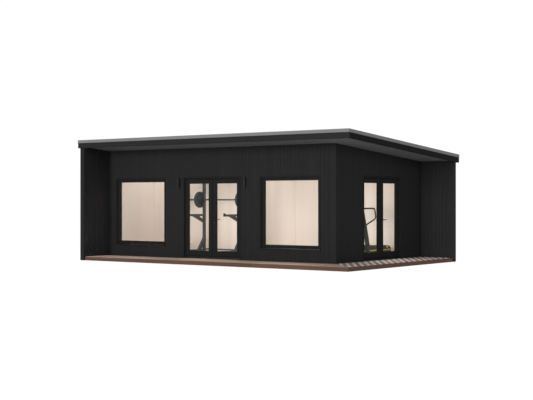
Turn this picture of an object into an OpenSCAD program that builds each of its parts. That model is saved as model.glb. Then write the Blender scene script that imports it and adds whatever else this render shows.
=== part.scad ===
// Garden room with a pent roof, a front and a side canopy, and an L-shaped deck.
// Origin: on the ground under the middle of the roof. +X to the right seen from
// the front, +Y to the back, +Z up. The front faces -Y. Millimetres.

/* [Roof] */
// Length of the roof along X, over the edge trim
roof_l = 8015; // [7975:5:8200]
// Depth of the roof along Y, over the edge trim
roof_d = 5075; // [5050:5:5200]
// Height of the roof's front edge above the ground
roof_z = 3010; // [2950:5:3200]
// Fall of the roof from the front to the back, in degrees
roof_pitch = 4.33; // [2.5:0.01:5]
// Height of the light edge trim
trim_h = 75; // [60:5:90]
// Height of the whole roof edge, trim and fascia board together
edge_h = 200; // [190:5:230]
// Height from the soffit's underside to the top of the roof's edge
roof_build = 172; // [170:1:185]
// Depth of the front canopy, from the roof's edge to the front wall
canopy_front = 970; // [900:10:1100]
// Depth of the side canopy, from the roof's edge to the right wall
canopy_side = 955; // [940:5:1000]

/* [Walls] */
// Thickness of an outer wall without its lining
wall_t = 130; // [110:5:150]
// Thickness of the wing wall behind the side deck
wing_t = 90; // [70:5:110]
// Overhang of the roof's edge past the left wall and the rear wing wall
over_x = 50; // [50:1:55]
// Overhang of the roof's edge past the front end of the left wall
over_y = 50; // [50:1:55]
// Overhang of the roof's edge past the rear wall
over_r = 110; // [100:5:120]
// Thickness of the interior lining boards
lining_t = 12; // [9:1:18]
// Width of the corner trim boards
corner_w = 145; // [100:5:150]
// Distance that the trim boards stand proud of the wall
trim_t = 12; // [8:1:12]

/* [Openings] */
// Width and height of a square window opening
window_w = 1615; // [1500:5:1650]
// Height of a window opening's lower edge
window_z = 410; // [380:5:440]
// Distance from the middle of the front doors to the middle of a window
window_dx = 2288; // [2280:1:2300]
// Width of a window frame's face
window_face = 62; // [55:1:75]
// Width of a double door's opening
door_w = 1700; // [1640:10:1720]
// Top of a double door's opening
door_top = 2040; // [2020:5:2100]
// X of the middle of the front doors
front_door_x = -485.5; // [-490:0.5:-475]
// Y of the middle of the side doors
side_door_y = 451.5; // [440:0.5:470]
// Depth of the frames' faces behind the wall's face
recess = 40; // [30:1:50]

/* [Door leaves] */
// Thickness of a door leaf
leaf_t = 56; // [50:1:58]
// Gap between the two leaves of a pair
meeting_gap = 12; // [12:1:14]
// Width of the stile on a leaf's hinge side
hinge_stile = 78; // [70:1:85]
// Width of the stile where two leaves meet
meeting_stile = 114; // [100:1:120]
// Height of a leaf's bottom rail
bottom_rail = 150; // [150:5:220]
// Height of a leaf's top rail
top_rail = 96; // [70:1:110]

/* [Deck] */
// Height of the deck above the ground
deck_z = 98; // [95:1:110]
// Thickness of the deck boards
deck_t = 28; // [24:1:32]
// Distance between the joists under the deck
joist_pitch = 600; // [400:50:800]

/* [Hidden] */

slope = tan(roof_pitch);
rx = roof_l / 2;
ry = roof_d / 2;
xl = -rx + over_x;          // left wall, outer face
xli = xl + wall_t;          // left wall, inner face
xr = rx - canopy_side;      // right wall, outer face
xri = xr - wall_t;          // right wall, inner face
xw = rx - over_x;           // free end of the rear wing wall
yf = -ry + canopy_front;    // front wall, outer face
yfi = yf + wall_t;          // front wall, inner face
ye = -ry + over_y;          // front end of the left wall
yb = ry - over_r;           // rear wall, outer face
yr = ry - over_y;           // rear fascia board, inner face
ybi = yb - wall_t;          // rear wall, inner face
yw = yb - wing_t;           // rear wing wall, front face
band_t = 5;                 // thickness of the edge trim's face
fx = rx - band_t;           // side fascia, outer face
fy = ry - band_t;           // rear fascia, outer face
cover_drop = 24;            // the covering lies this far below the trim's top
deck_in = 25;               // the deck's edge lies this far inside the wing walls' ends
deck_x = xw - deck_in;      // outer edge of the side deck
deck_y = ye + deck_in;      // outer edge of the front deck
fascia_t = 25;              // deck fascia board
floor_z = 100;              // top of the room's floor
door_z = 100;               // bottom of the door openings
frame_y = yf + recess;      // outer face of the front frames
frame_x = xr - recess;      // outer face of the side door frame
frame_d = wall_t + lining_t - recess; // depth of the frames
jamb = 30;                  // face width of a door frame
gap = 5;                    // gap round a door leaf
sill_h = 25;                // threshold
leaf_w = door_w / 2 - jamb - gap - meeting_gap / 2;
leaf_z0 = door_z + sill_h + gap;
leaf_z1 = door_top - jamb - gap;
glass_t = 24;
glass_in = 14;              // the doors' glass lies this far behind the leaf's face
handle_z = 1045;
slip = 0.5;                 // clearance between pieces that meet on the roof's slope
pin_x = door_w / 2 - jamb - gap / 2; // hinge pins, from the middle of a frame
pin_y = -9;                 // hinge pins, from a frame's face
hinges = [300, 1070, 1840]; // middles of the hinges
rear_u = 1745;              // Y of the rack's uprights
bar_z = 1520;

function zt(y) = roof_z - slope * (y + ry);   // top of the edge trim
function zp(y) = zt(y) - roof_build + 12;     // underside of the roof panel
function zs(y) = zt(y) - roof_build;          // underside of the soffit

module yz_bar(x0, x1, pts)
  translate([x0, 0, 0]) rotate([90, 0, 90]) linear_extrude(x1 - x0) polygon(pts);
module xz_bar(y0, y1, pts)
  translate([0, y1, 0]) rotate([90, 0, 0]) linear_extrude(y1 - y0) polygon(pts);
module xy_plate(z0, z1, pts)
  translate([0, 0, z0]) linear_extrude(z1 - z0) polygon(pts);
module block(a, b) translate(a) cube(b - a);
// A slab that follows the roof's slope between heights a and b below the trim's top
module sloped(x0, x1, y0, y1, a, b)
  yz_bar(x0, x1, [[y0, zt(y0) - a], [y0, zt(y0) - b], [y1, zt(y1) - b], [y1, zt(y1) - a]]);
// A wall from height z0 up to the roof panel
module wall(x0, x1, y0, y1, z0 = 0)
  yz_bar(x0, x1, [[y0, z0], [y1, z0], [y1, zp(y1) - slip], [y0, zp(y0) - slip]]);

module window_hole(cx, y0, y1)
  block([cx - window_w / 2, y0, window_z], [cx + window_w / 2, y1, window_z + window_w]);

// ---- floor and deck ----
module floor_base() color([0.55, 0.50, 0.44]) {
  block([xli, yfi, 0], [xri, ybi, floor_z - 20]);
  block([front_door_x - door_w / 2, yf, 0], [front_door_x + door_w / 2, yfi, door_z]);
  block([xri, side_door_y - door_w / 2, 0], [xr, side_door_y + door_w / 2, door_z]);
}
module floor_finish() color([0.62, 0.56, 0.50])
  block([xli, yfi, floor_z - 20], [xri, ybi, floor_z]);

module deck_frame() color([0.45, 0.36, 0.28]) {
  n = floor((deck_x - xli - 700) / joist_pitch);
  for (i = [0 : n]) let (x = xli + 20 + i * joist_pitch)
    block([x, deck_y + fascia_t, 10], [x + 45, yf - 10, deck_z - deck_t]);
  m = floor((yw - yf - 100) / joist_pitch);
  for (i = [0 : m]) let (y = yf + 40 + i * joist_pitch)
    block([xr + 10, y, 10], [deck_x - fascia_t, y + 45, deck_z - deck_t]);
}
module deck_boards() color([0.52, 0.45, 0.41]) {
  xo = deck_x - fascia_t;
  yo = deck_y + fascia_t;
  xy_plate(deck_z - deck_t, deck_z, [[xli, yo], [xo - 4, yo], [xr - 4, yf], [xli, yf]]);
  xy_plate(deck_z - deck_t, deck_z, [[xr, yf], [xo, yo], [xo, yw - trim_t], [xr, yw - trim_t]]);
}
module deck_fascia() color([0.40, 0.32, 0.28]) {
  block([xli, deck_y, 0], [deck_x, deck_y + fascia_t, deck_z - 5]);
  block([deck_x - fascia_t, deck_y + fascia_t + 2, 0], [deck_x, yw - trim_t, deck_z - 5]);
}

// ---- walls ----
module left_side_wall() color([0.16, 0.16, 0.17]) wall(xl, xli, ye, yb);
module rear_wall() color([0.16, 0.16, 0.17]) wall(xli, xr, ybi, yb);
module rear_wing_wall() color([0.16, 0.16, 0.17]) wall(xr, xw, yw, yb);
module front_wall_left() color([0.16, 0.16, 0.17]) difference() {
  wall(xli, front_door_x - door_w / 2, yf, yfi);
  window_hole(front_door_x - window_dx, yf - 1, yfi + 1);
}
module front_wall_head() color([0.16, 0.16, 0.17])
  wall(front_door_x - door_w / 2, front_door_x + door_w / 2, yf, yfi, door_top);
module front_wall_right() color([0.16, 0.16, 0.17]) difference() {
  wall(front_door_x + door_w / 2, xr, yf, yfi);
  window_hole(front_door_x + window_dx, yf - 1, yfi + 1);
}
module right_wall_front() color([0.16, 0.16, 0.17]) wall(xri, xr, yfi, side_door_y - door_w / 2);
module right_wall_head() color([0.16, 0.16, 0.17])
  wall(xri, xr, side_door_y - door_w / 2, side_door_y + door_w / 2, door_top);
module right_wall_rear() color([0.16, 0.16, 0.17]) wall(xri, xr, side_door_y + door_w / 2, ybi);

module corner_trims() color([0.17, 0.17, 0.18]) {
  // outer corner between the front wall and the right wall
  difference() {
    yz_bar(xr - corner_w, xr + trim_t, [[yf - trim_t, deck_z + 2], [yf - trim_t + corner_w, deck_z + 2],
      [yf - trim_t + corner_w, zs(yf + corner_w) - 2], [yf - trim_t, zs(yf - trim_t) - 2]]);
    block([xr - corner_w - 1, yf, 0], [xr, yf + corner_w, roof_z]);
  }
  // board on the front end of the left wall
  block([xl, ye - trim_t, 6], [xli, ye, zt(ye) - edge_h - 8]);
  // boards round the free end of the rear wing wall
  difference() {
    block([xw - 120, yw - trim_t, 6], [xw + trim_t, yb, zt(yb) - edge_h - 8]);
    block([xw - 121, yw, -1], [xw, yb + 1, roof_z]);
  }
}

// ---- lining, soffit, roof ----
module lining_panel(x0, x1, y0, y1)
  yz_bar(x0, x1, [[y0, floor_z], [y1, floor_z], [y1, zs(y1) - slip], [y0, zs(y0) - slip]]);
module wall_lining() color([0.85, 0.78, 0.70]) {
  difference() {
    lining_panel(xli, xri, yfi, yfi + lining_t);
    window_hole(front_door_x - window_dx, yfi - 1, yfi + lining_t + 1);
    window_hole(front_door_x + window_dx, yfi - 1, yfi + lining_t + 1);
    block([front_door_x - door_w / 2, yfi - 1, 0], [front_door_x + door_w / 2, yfi + lining_t + 1, door_top]);
  }
  lining_panel(xli, xli + lining_t, yfi + lining_t + 1, ybi - lining_t - 1);
  lining_panel(xli, xri, ybi - lining_t, ybi);
  difference() {
    lining_panel(xri - lining_t, xri, yfi + lining_t + 1, ybi - lining_t - 1);
    block([xri - lining_t - 1, side_door_y - door_w / 2, 0], [xri + 1, side_door_y + door_w / 2, door_top]);
  }
}
module ceiling_lining() color([0.88, 0.83, 0.76])
  sloped(xli, xri, yfi, ybi, roof_build - 12 + slip, roof_build);
module soffit_boards() color([0.24, 0.24, 0.25]) {
  sloped(xli, xw, ye, yf, roof_build - 12 + slip, roof_build);
  sloped(xr, xw, yf, yw, roof_build - 12 + slip, roof_build);
  sloped(xl, xw, yb, yr, roof_build - 12 + slip, roof_build);
}
module roof_panel() color([0.70, 0.62, 0.50])
  sloped(xl, xw, ye, yr, cover_drop + 6 + slip, roof_build - 12);
module roof_covering() color([0.25, 0.25, 0.26])
  sloped(xl, xw, ye, yr, cover_drop + slip, cover_drop + 6);
module roof_edge_trim() color([0.55, 0.55, 0.56]) {
  f = 105; // width of the flange on top of the roof
  for (s = [-1, 1]) {
    sloped(-rx, rx, s > 0 ? fy : -ry, s > 0 ? ry : -fy, 0, trim_h);
    sloped(-fx + 1, fx - 1, s > 0 ? fy - f : -fy, s > 0 ? fy : -fy + f, 0, cover_drop);
  }
  for (s = [-1, 1]) {
    a = s > 0 ? fx : -rx;
    b = s > 0 ? rx : -fx;
    sloped(a, b, -fy + 1, fy - 1, 0, trim_h);
    c = s > 0 ? fx - f : -fx;
    d = s > 0 ? fx : -fx + f;
    sloped(c, d, -fy + f + 1, fy - f - 1, 0, cover_drop);
  }
}
module fascia_boards() color([0.19, 0.19, 0.20]) {
  sloped(-fx, fx, -fy, ye, cover_drop + slip, edge_h);
  sloped(-fx, fx, yr, fy, cover_drop + slip, edge_h);
  sloped(-fx, xl, ye + 1, yr - 1, cover_drop + slip, edge_h);
  sloped(xw, fx, ye + 1, yr - 1, cover_drop + slip, edge_h);
}

// ---- windows ----
module window_frame(cx) difference() {
  block([cx - window_w / 2, frame_y, window_z], [cx + window_w / 2, frame_y + frame_d, window_z + window_w]);
  block([cx - window_w / 2 + window_face, frame_y - 1, window_z + window_face],
    [cx + window_w / 2 - window_face, frame_y + frame_d + 1, window_z + window_w - window_face]);
}
module window_frames() color([0.13, 0.13, 0.14])
  for (s = [-1, 1]) window_frame(front_door_x + s * window_dx);
module window_glass() color([0.80, 0.85, 0.86, 0.35])
  for (s = [-1, 1]) let (cx = front_door_x + s * window_dx)
    block([cx - window_w / 2 + window_face, frame_y + 30, window_z + window_face],
      [cx + window_w / 2 - window_face, frame_y + 30 + glass_t, window_z + window_w - window_face]);
module window_trims() color([0.12, 0.12, 0.13])
  for (s = [-1, 1]) let (cx = front_door_x + s * window_dx, o = window_w / 2 + 35) {
    difference() {
      block([cx - o, yf - 8, window_z], [cx + o, yf, window_z + window_w + 35]);
      block([cx - window_w / 2, yf - 9, window_z - 1], [cx + window_w / 2, yf + 1, window_z + window_w]);
    }
    block([cx - o, yf - 45, window_z - 30], [cx + o, yf, window_z]);
  }

// ---- doors ----
// Door frame in its own place: x along the wall from the middle, y inwards from its face
module door_frame() {
  w = door_w / 2;
  difference() {
    block([-w, 0, door_z], [w, frame_d, door_top]);
    block([-w + jamb, -1, door_z + sill_h], [w - jamb, leaf_t + gap, door_top - jamb]);
    block([-w + jamb + 18, -1, door_z + sill_h], [w - jamb - 18, frame_d + 1, door_top - jamb - 18]);
  }
  block([-w, -18, door_z], [w, 0, door_z + sill_h - 5]);
  // lower halves of the hinges, each with its pin
  for (s = [0, 1], z = hinges) mirror([s, 0, 0]) translate([-pin_x, pin_y, z]) {
    translate([0, 0, -50]) cylinder(h = 49, d = 16, $fn = 32);
    translate([0, 0, -2]) cylinder(h = 46, d = 8, $fn = 32);
    block([-26, -pin_y - 4, -48], [0, -pin_y, -3]);
  }
}
// Leaf from its hinge edge at x = 0, outer face at y = 0
module door_leaf() {
  difference() {
    block([0, 0, leaf_z0], [leaf_w, leaf_t, leaf_z1]);
    block([hinge_stile, -1, leaf_z0 + bottom_rail], [leaf_w - meeting_stile, leaf_t + 1, leaf_z1 - top_rail]);
  }
  // upper halves of the hinges, bored for their pins
  for (z = hinges) translate([-gap / 2, pin_y, z]) difference() {
    union() {
      cylinder(h = 49, d = 16, $fn = 32);
      block([0, -pin_y - 4, 3], [28, -pin_y, 47]);
    }
    translate([0, 0, -1]) cylinder(h = 46.5, d = 8.6, $fn = 32);
  }
}
module door_glass()
  block([hinge_stile, glass_in, leaf_z0 + bottom_rail], [leaf_w - meeting_stile, glass_in + 22, leaf_z1 - top_rail]);
module door_handle() {
  x = leaf_w - meeting_stile / 2;
  for (s = [0, 1]) translate([x, s * leaf_t, handle_z]) mirror([0, s, 0]) {
    block([-16, -9, -110], [16, 0, 110]);
    translate([0, -9, 0]) rotate([90, 0, 0]) cylinder(h = 35, d = 22, $fn = 32);
    block([-96, -58, -9], [11, -44, 9]);
  }
}
module at_front_frame() translate([front_door_x, frame_y, 0]) children();
module at_side_frame() translate([frame_x, side_door_y, 0]) rotate([0, 0, 90]) children();
module left_leaf_place() translate([-door_w / 2 + jamb + gap, 0, 0]) children();
module right_leaf_place() translate([door_w / 2 - jamb - gap, 0, 0]) mirror([1, 0, 0]) children();

module front_door_frame() color([0.13, 0.13, 0.14]) at_front_frame() door_frame();
module side_door_frame() color([0.13, 0.13, 0.14]) at_side_frame() door_frame();
module front_door_left_leaf() color([0.13, 0.13, 0.14]) at_front_frame() left_leaf_place() door_leaf();
module front_door_right_leaf() color([0.13, 0.13, 0.14]) at_front_frame() right_leaf_place() door_leaf();
module side_door_front_leaf() color([0.13, 0.13, 0.14]) at_side_frame() left_leaf_place() door_leaf();
module side_door_rear_leaf() color([0.13, 0.13, 0.14]) at_side_frame() right_leaf_place() door_leaf();
module front_door_left_glass() color([0.80, 0.85, 0.86, 0.35]) at_front_frame() left_leaf_place() door_glass();
module front_door_right_glass() color([0.80, 0.85, 0.86, 0.35]) at_front_frame() right_leaf_place() door_glass();
module side_door_front_glass() color([0.80, 0.85, 0.86, 0.35]) at_side_frame() left_leaf_place() door_glass();
module side_door_rear_glass() color([0.80, 0.85, 0.86, 0.35]) at_side_frame() right_leaf_place() door_glass();
module front_door_handle() color([0.10, 0.10, 0.11]) at_front_frame() right_leaf_place() door_handle();
module side_door_handle() color([0.10, 0.10, 0.11]) at_side_frame() right_leaf_place() door_handle();

// Slim lights on the wall, one on each side of the front doors
module wall_lights() color([0.08, 0.08, 0.09])
  for (x = [front_door_x - 1010, front_door_x + 1024]) {
    block([x - 29, yf - 66, 1810], [x + 29, yf - 14, 2037]);
    block([x - 22, yf - 14, 1860], [x + 22, yf, 1987]);
  }

// ---- gym equipment ----
module in_room() translate([-28.5, -37.5, 0]) children();
// One side of the weight rack: upright, foot, braces, arm and bar rest
module rack_side(x) {
  block([x - 35, rear_u - 35, floor_z], [x + 35, rear_u + 35, 2200]);
  block([x - 35, 930, floor_z], [x + 35, rear_u, 156]);
  yz_bar(x - 35, x + 35, [[1720, 478], [1720, 330], [1710, 330], [1592, 156], [1592, 140], [1479, 140],
    [1479, 156], [1710, 478]]);
  yz_bar(x - 28, x + 28, [[1720, 1068], [1720, 1128], [1055, 1128], [1055, 1157], [1030, 1157], [1030, 1068]]);
  yz_bar(x - 28, x + 28, [[1252, 1068], [1252, 1080], [1501, 1080], [1501, 1068], [1710, 961], [1720, 961],
    [1720, 883], [1710, 883]]);
  // hook that holds the bar
  yz_bar(x - 25, x + 25, [[1720, bar_z - 66], [1720, bar_z - 21.5], [1618, bar_z - 21.5],
    [1618, bar_z + 20], [1604, bar_z + 20], [1604, bar_z - 42]]);
}
module rack_sides() color([0.30, 0.32, 0.34]) in_room()
  for (x = [-3366, -2095]) rack_side(x);
module rack_crossbars() color([0.30, 0.32, 0.34]) in_room() {
  block([-3331, rear_u - 30, 138], [-2130, rear_u + 30, 173]);
  block([-3331, rear_u - 30, 2120], [-2130, rear_u + 30, 2180]);
}
module weight_bar() color([0.45, 0.46, 0.47]) in_room() {
  translate([-3772, 1640, bar_z]) rotate([0, 90, 0]) cylinder(h = 372, d = 50, $fn = 40);
  translate([-2055, 1640, bar_z]) rotate([0, 90, 0]) cylinder(h = 455, d = 50, $fn = 40);
  translate([-3400, 1640, bar_z]) rotate([0, 90, 0]) cylinder(h = 1345, d = 42, $fn = 40);
}
module weight_plates() color([0.28, 0.30, 0.32]) in_room()
  for (x = [-3466, -2040]) translate([x, 1640, bar_z]) rotate([0, 90, 0]) difference() {
    cylinder(h = 55, d = 450, $fn = 72);
    translate([0, 0, -1]) cylinder(h = 57, d = 51.5, $fn = 40);
  }
// Running deck with the motor housing in front of it, on four feet
module treadmill_deck() color([0.22, 0.23, 0.24]) in_room() {
  yz_bar(1640, 2400, [[715, 130], [715, 415], [1080, 408], [1950, 385], [2010, 374], [2060, 336],
    [2080, 280], [2075, 200], [2050, 150], [2020, 130]]);
  yz_bar(1600, 2400, [[200, 130], [200, 290], [260, 370], [420, 420], [700, 440], [719, 440], [719, 130]]);
  for (x = [1690, 2290], y = [260, 1960]) block([x, y, floor_z], [x + 60, y + 60, 131]);
}
module treadmill_frame() color([0.24, 0.26, 0.28]) in_room()
  for (x = [1570, 2400.5]) {
    // leaning post down to the floor, and the handrail
    yz_bar(x, x + 29.5, [[841, floor_z], [1008, floor_z], [1008, 416], [880, 830], [772, 1160], [738, 1306],
      [640, 1306], [690, 1000], [748, 740], [841, 420]]);
    yz_bar(x, x + 29.5, [[650, 1325], [1192, 1325], [1252, 1311], [1283, 1264], [1306, 1185], [1324, 1110], [1308, 1053], [1262, 1027], [1036, 946], [861, 888],
      [849, 924], [1024, 982], [1246, 1061], [1276, 1079], [1284, 1110], [1270, 1175], [1249, 1248], [1228, 1277], [1188, 1287], [650, 1287]]);
  }
module treadmill_console() color([0.12, 0.12, 0.13]) in_room()
  yz_bar(1599.6, 2400.4, [[540, 1250], [660, 1250], [700, 1290], [600, 1470], [560, 1470], [520, 1300]]);

floor_base();
floor_finish();
deck_frame();
deck_boards();
deck_fascia();
left_side_wall();
rear_wall();
rear_wing_wall();
front_wall_left();
front_wall_head();
front_wall_right();
right_wall_front();
right_wall_head();
right_wall_rear();
corner_trims();
wall_lining();
ceiling_lining();
soffit_boards();
roof_panel();
roof_covering();
roof_edge_trim();
fascia_boards();
window_frames();
window_glass();
window_trims();
front_door_frame();
side_door_frame();
front_door_left_leaf();
front_door_right_leaf();
side_door_front_leaf();
side_door_rear_leaf();
front_door_left_glass();
front_door_right_glass();
side_door_front_glass();
side_door_rear_glass();
front_door_handle();
side_door_handle();
wall_lights();
rack_sides();
rack_crossbars();
weight_bar();
weight_plates();
treadmill_deck();
treadmill_frame();
treadmill_console();
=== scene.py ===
import itertools
import math
import random

import bmesh
import bpy
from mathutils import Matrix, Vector


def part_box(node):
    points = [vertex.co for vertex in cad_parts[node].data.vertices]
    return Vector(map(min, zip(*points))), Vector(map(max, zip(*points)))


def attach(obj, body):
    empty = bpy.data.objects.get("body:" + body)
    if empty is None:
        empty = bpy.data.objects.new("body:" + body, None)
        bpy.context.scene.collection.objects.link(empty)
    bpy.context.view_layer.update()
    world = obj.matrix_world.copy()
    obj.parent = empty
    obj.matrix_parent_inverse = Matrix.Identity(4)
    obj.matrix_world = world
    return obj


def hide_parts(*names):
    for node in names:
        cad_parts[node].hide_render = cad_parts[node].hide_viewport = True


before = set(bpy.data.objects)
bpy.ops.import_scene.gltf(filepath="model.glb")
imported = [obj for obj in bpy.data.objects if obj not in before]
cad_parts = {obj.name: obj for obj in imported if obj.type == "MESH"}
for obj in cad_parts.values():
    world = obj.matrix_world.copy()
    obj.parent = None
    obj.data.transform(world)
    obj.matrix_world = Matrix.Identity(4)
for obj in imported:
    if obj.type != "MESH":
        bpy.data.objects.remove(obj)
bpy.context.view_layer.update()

MM = 0.001


def box_mm(node):
    lo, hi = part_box(node)
    return [round(c * 1000, 2) for c in lo], [round(c * 1000, 2) for c in hi]


# ---------------------------------------------------------------- places taken from the CAD nodes
LW, RW, WW = box_mm("left_side_wall"), box_mm("rear_wall"), box_mm("rear_wing_wall")
FL, FH, FR = box_mm("front_wall_left"), box_mm("front_wall_head"), box_mm("front_wall_right")
SF, SH, SR = box_mm("right_wall_front"), box_mm("right_wall_head"), box_mm("right_wall_rear")
RT = box_mm("roof_edge_trim")
xl, xli, ye, yb = LW[0][0], LW[1][0], LW[0][1], LW[1][1]
xr, xri, ybi = SF[1][0], SF[0][0], RW[0][1]
xw, yw = WW[1][0], WW[0][1]
yf, yfi = FL[0][1], FL[1][1]
rx, ry, roof_z = RT[1][0], RT[1][1], RT[1][2]
dx0, dx1, door_top = FH[0][0], FH[1][0], FH[0][2]
sy0, sy1 = SH[0][1], SH[1][1]
FB = box_mm("fascia_boards")
fx, fy = FB[1][0], FB[1][1]
WF = box_mm("window_frames")
WT = box_mm("window_trims")
frame_y = WF[0][1]
win_w = WF[1][2] - WF[0][2]
win_z0, win_z1 = WF[0][2], WF[1][2]
win_x = [WF[0][0] + win_w / 2, WF[1][0] - win_w / 2]
frame_x = xr - (frame_y - yf)
DB, DF = box_mm("deck_boards"), box_mm("deck_fascia")
deck_z, deck_x, deck_y = DB[1][2], DF[1][0], DF[0][1]
FLOOR = box_mm("floor_finish")
floor_z = FLOOR[1][2]
lining = 12.0

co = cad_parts["roof_covering"].data.vertices
top_front = max(v.co.z for v in co if v.co.y < 0) * 1000
top_back = max(v.co.z for v in co if v.co.y > 0) * 1000
yr = box_mm("roof_covering")[1][1]  # inner face of the rear fascia
slope = (top_front - top_back) / (yr - ye)


def zt(y):
    return roof_z - slope * (y + ry)


def zs(y):
    return zt(y) - 172


def wall_top(y):
    return zt(y) - 161


# ---------------------------------------------------------------- mesh helpers, all in millimetres
class Mesh:
    """Vertices and faces of one piece, with a material index a face and a tone a vertex."""

    def __init__(self):
        self.v, self.f, self.mi, self.tone = [], [], [], []

    def add(self, verts, faces, mat=0, tone=0.5):
        n = len(self.v)
        self.v.extend(tuple(p) for p in verts)
        self.tone.extend([tone] * len(verts))
        for f in faces:
            self.f.append([n + i for i in f])
            self.mi.append(mat)
        return self


def make(name, m, mats, body, replaces=(), angle=35):
    me = bpy.data.meshes.new(name)
    me.from_pydata([(x * MM, y * MM, z * MM) for x, y, z in m.v], [], m.f)
    me.polygons.foreach_set("material_index", m.mi)
    a = me.attributes.new("tone", "FLOAT", "POINT")
    a.data.foreach_set("value", m.tone)
    for q in mats:
        me.materials.append(q)
    bm = bmesh.new()
    bm.from_mesh(me)
    bmesh.ops.recalc_face_normals(bm, faces=bm.faces)
    bm.to_mesh(me)
    bm.free()
    me.polygons.foreach_set("use_smooth", [True] * len(me.polygons))
    me.set_sharp_from_angle(angle=math.radians(angle))
    me.update()
    ob = bpy.data.objects.new(name, me)
    bpy.context.scene.collection.objects.link(ob)
    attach(ob, body)
    if replaces:
        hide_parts(*replaces)
    return ob


def same(x, y, z):
    return x, y, z


def cbox(m, lo, hi, c=2.0, mat=0, tone=0.5, place=same):
    """A box with all its edges cut at 45 degrees."""
    lo, hi = [min(a, b) for a, b in zip(lo, hi)], [max(a, b) for a, b in zip(lo, hi)]
    c = min(c, min(b - a for a, b in zip(lo, hi)) * 0.45)
    idx, verts, faces = {}, [], []
    corners = list(itertools.product((0, 1), repeat=3))
    for s in corners:
        for k in range(3):
            idx[s, k] = len(verts)
            verts.append(
                place(
                    *[
                        (hi[i] if s[i] else lo[i]) + (0 if i == k else (-c if s[i] else c))
                        for i in range(3)
                    ]
                )
            )
    for k in range(3):
        i, j = (k + 1) % 3, (k + 2) % 3
        for e in (0, 1):
            loop = []
            for a, b in ((0, 0), (1, 0), (1, 1), (0, 1)):
                s = [0, 0, 0]
                s[k], s[i], s[j] = e, a, b
                loop.append(idx[tuple(s), k])
            faces.append(loop)
        for a, b in ((0, 0), (1, 0), (1, 1), (0, 1)):
            s = [0, 0, 0]
            s[i], s[j] = a, b
            t = list(s)
            t[k] = 1
            s, t = tuple(s), tuple(t)
            faces.append([idx[s, i], idx[t, i], idx[t, j], idx[s, j]])
    for s in corners:
        faces.append([idx[s, 0], idx[s, 1], idx[s, 2]])
    m.add(verts, faces, mat, tone)


def prism(m, pts, t0, t1, place, c=0.0, seg=1, mat=0, tone=0.5):
    """The polygon pts, of (p, q), run from t0 to t1, with its edges rounded by c. place(p, q, t) gives x, y, z."""
    bm = bmesh.new()
    a = [bm.verts.new((p, q, t0)) for p, q in pts]
    b = [bm.verts.new((p, q, t1)) for p, q in pts]
    bm.faces.new(a[::-1])
    bm.faces.new(b)
    n = len(pts)
    for i in range(n):
        j = (i + 1) % n
        bm.faces.new((a[i], a[j], b[j], b[i]))
    if c > 0:
        bmesh.ops.bevel(
            bm, geom=list(bm.edges), offset=c, segments=seg, profile=0.6,
            affect="EDGES", clamp_overlap=True,
        )
    bm.verts.index_update()
    m.add(
        [place(*v.co) for v in bm.verts],
        [[v.index for v in f.verts] for f in bm.faces],
        mat, tone,
    )
    bm.free()


def ring(m, rect, profile, place, mat=0, tone=0.5, open_bottom=False):
    """Runs a closed profile of (w, d) round a rectangle, w measured inwards from it. place(u, d, z) gives x, y, z."""
    u0, u1, z0, z1 = rect
    n = len(profile)
    verts = []
    if open_bottom:
        stations = [(u0, z0, 1, 0), (u0, z1, 1, -1), (u1, z1, -1, -1), (u1, z0, -1, 0)]
    else:
        stations = [(u0, z0, 1, 1), (u0, z1, 1, -1), (u1, z1, -1, -1), (u1, z0, -1, 1)]
    for u, z, su, sz in stations:
        for w, d in profile:
            verts.append(place(u + su * w, d, z + sz * w))
    faces = []
    for k in range(3 if open_bottom else 4):
        a, b = k * n, ((k + 1) % 4) * n
        for i in range(n):
            j = (i + 1) % n
            faces.append([a + i, a + j, b + j, b + i])
    if open_bottom:
        faces.append(list(range(n)))
        faces.append(list(range(3 * n, 4 * n)))
    m.add(verts, faces, mat, tone)


def fillet(path, r, n=6):
    """Rounds the corners of a path of points."""
    pts = [Vector(p) for p in path]
    out = [pts[0]]
    for a, b, c in zip(pts, pts[1:], pts[2:]):
        u, v = (a - b).normalized(), (c - b).normalized()
        ang = u.angle(v)
        cut = min(r / math.tan(ang / 2), (a - b).length * 0.49, (c - b).length * 0.49)
        p, q = b + u * cut, b + v * cut
        for i in range(n + 1):
            t = i / n
            out.append(p * (1 - t) ** 2 + b * 2 * t * (1 - t) + q * t * t)
    out.append(pts[-1])
    return out


def tube(m, path, r, seg=16, mat=0, tone=0.5, flat=None, place=same):
    """A round bar along a path; flat=(a, b) makes it an oval or, with seg 4, a flat bar."""
    pts = [Vector(p) for p in path]
    n = len(pts)
    tang = []
    for i in range(n):
        t = (pts[min(i + 1, n - 1)] - pts[max(i - 1, 0)]).normalized()
        tang.append(t)
    ref = Vector((0, 0, 1)) if abs(tang[0].z) < 0.9 else Vector((1, 0, 0))
    nrm = (ref - tang[0] * ref.dot(tang[0])).normalized()
    a, b = flat or (r, r)
    verts, faces = [], []
    for i in range(n):
        nrm = (nrm - tang[i] * nrm.dot(tang[i])).normalized()
        bi = tang[i].cross(nrm)
        for k in range(seg):
            g = 2 * math.pi * k / seg
            verts.append(place(*(pts[i] + nrm * (a * math.cos(g)) + bi * (b * math.sin(g)))))
    for i in range(n - 1):
        for k in range(seg):
            l = (k + 1) % seg
            faces.append([i * seg + k, i * seg + l, (i + 1) * seg + l, (i + 1) * seg + k])
    faces.append(list(range(seg)))
    faces.append(list(range((n - 1) * seg, n * seg)))
    m.add(verts, faces, mat, tone)


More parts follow.
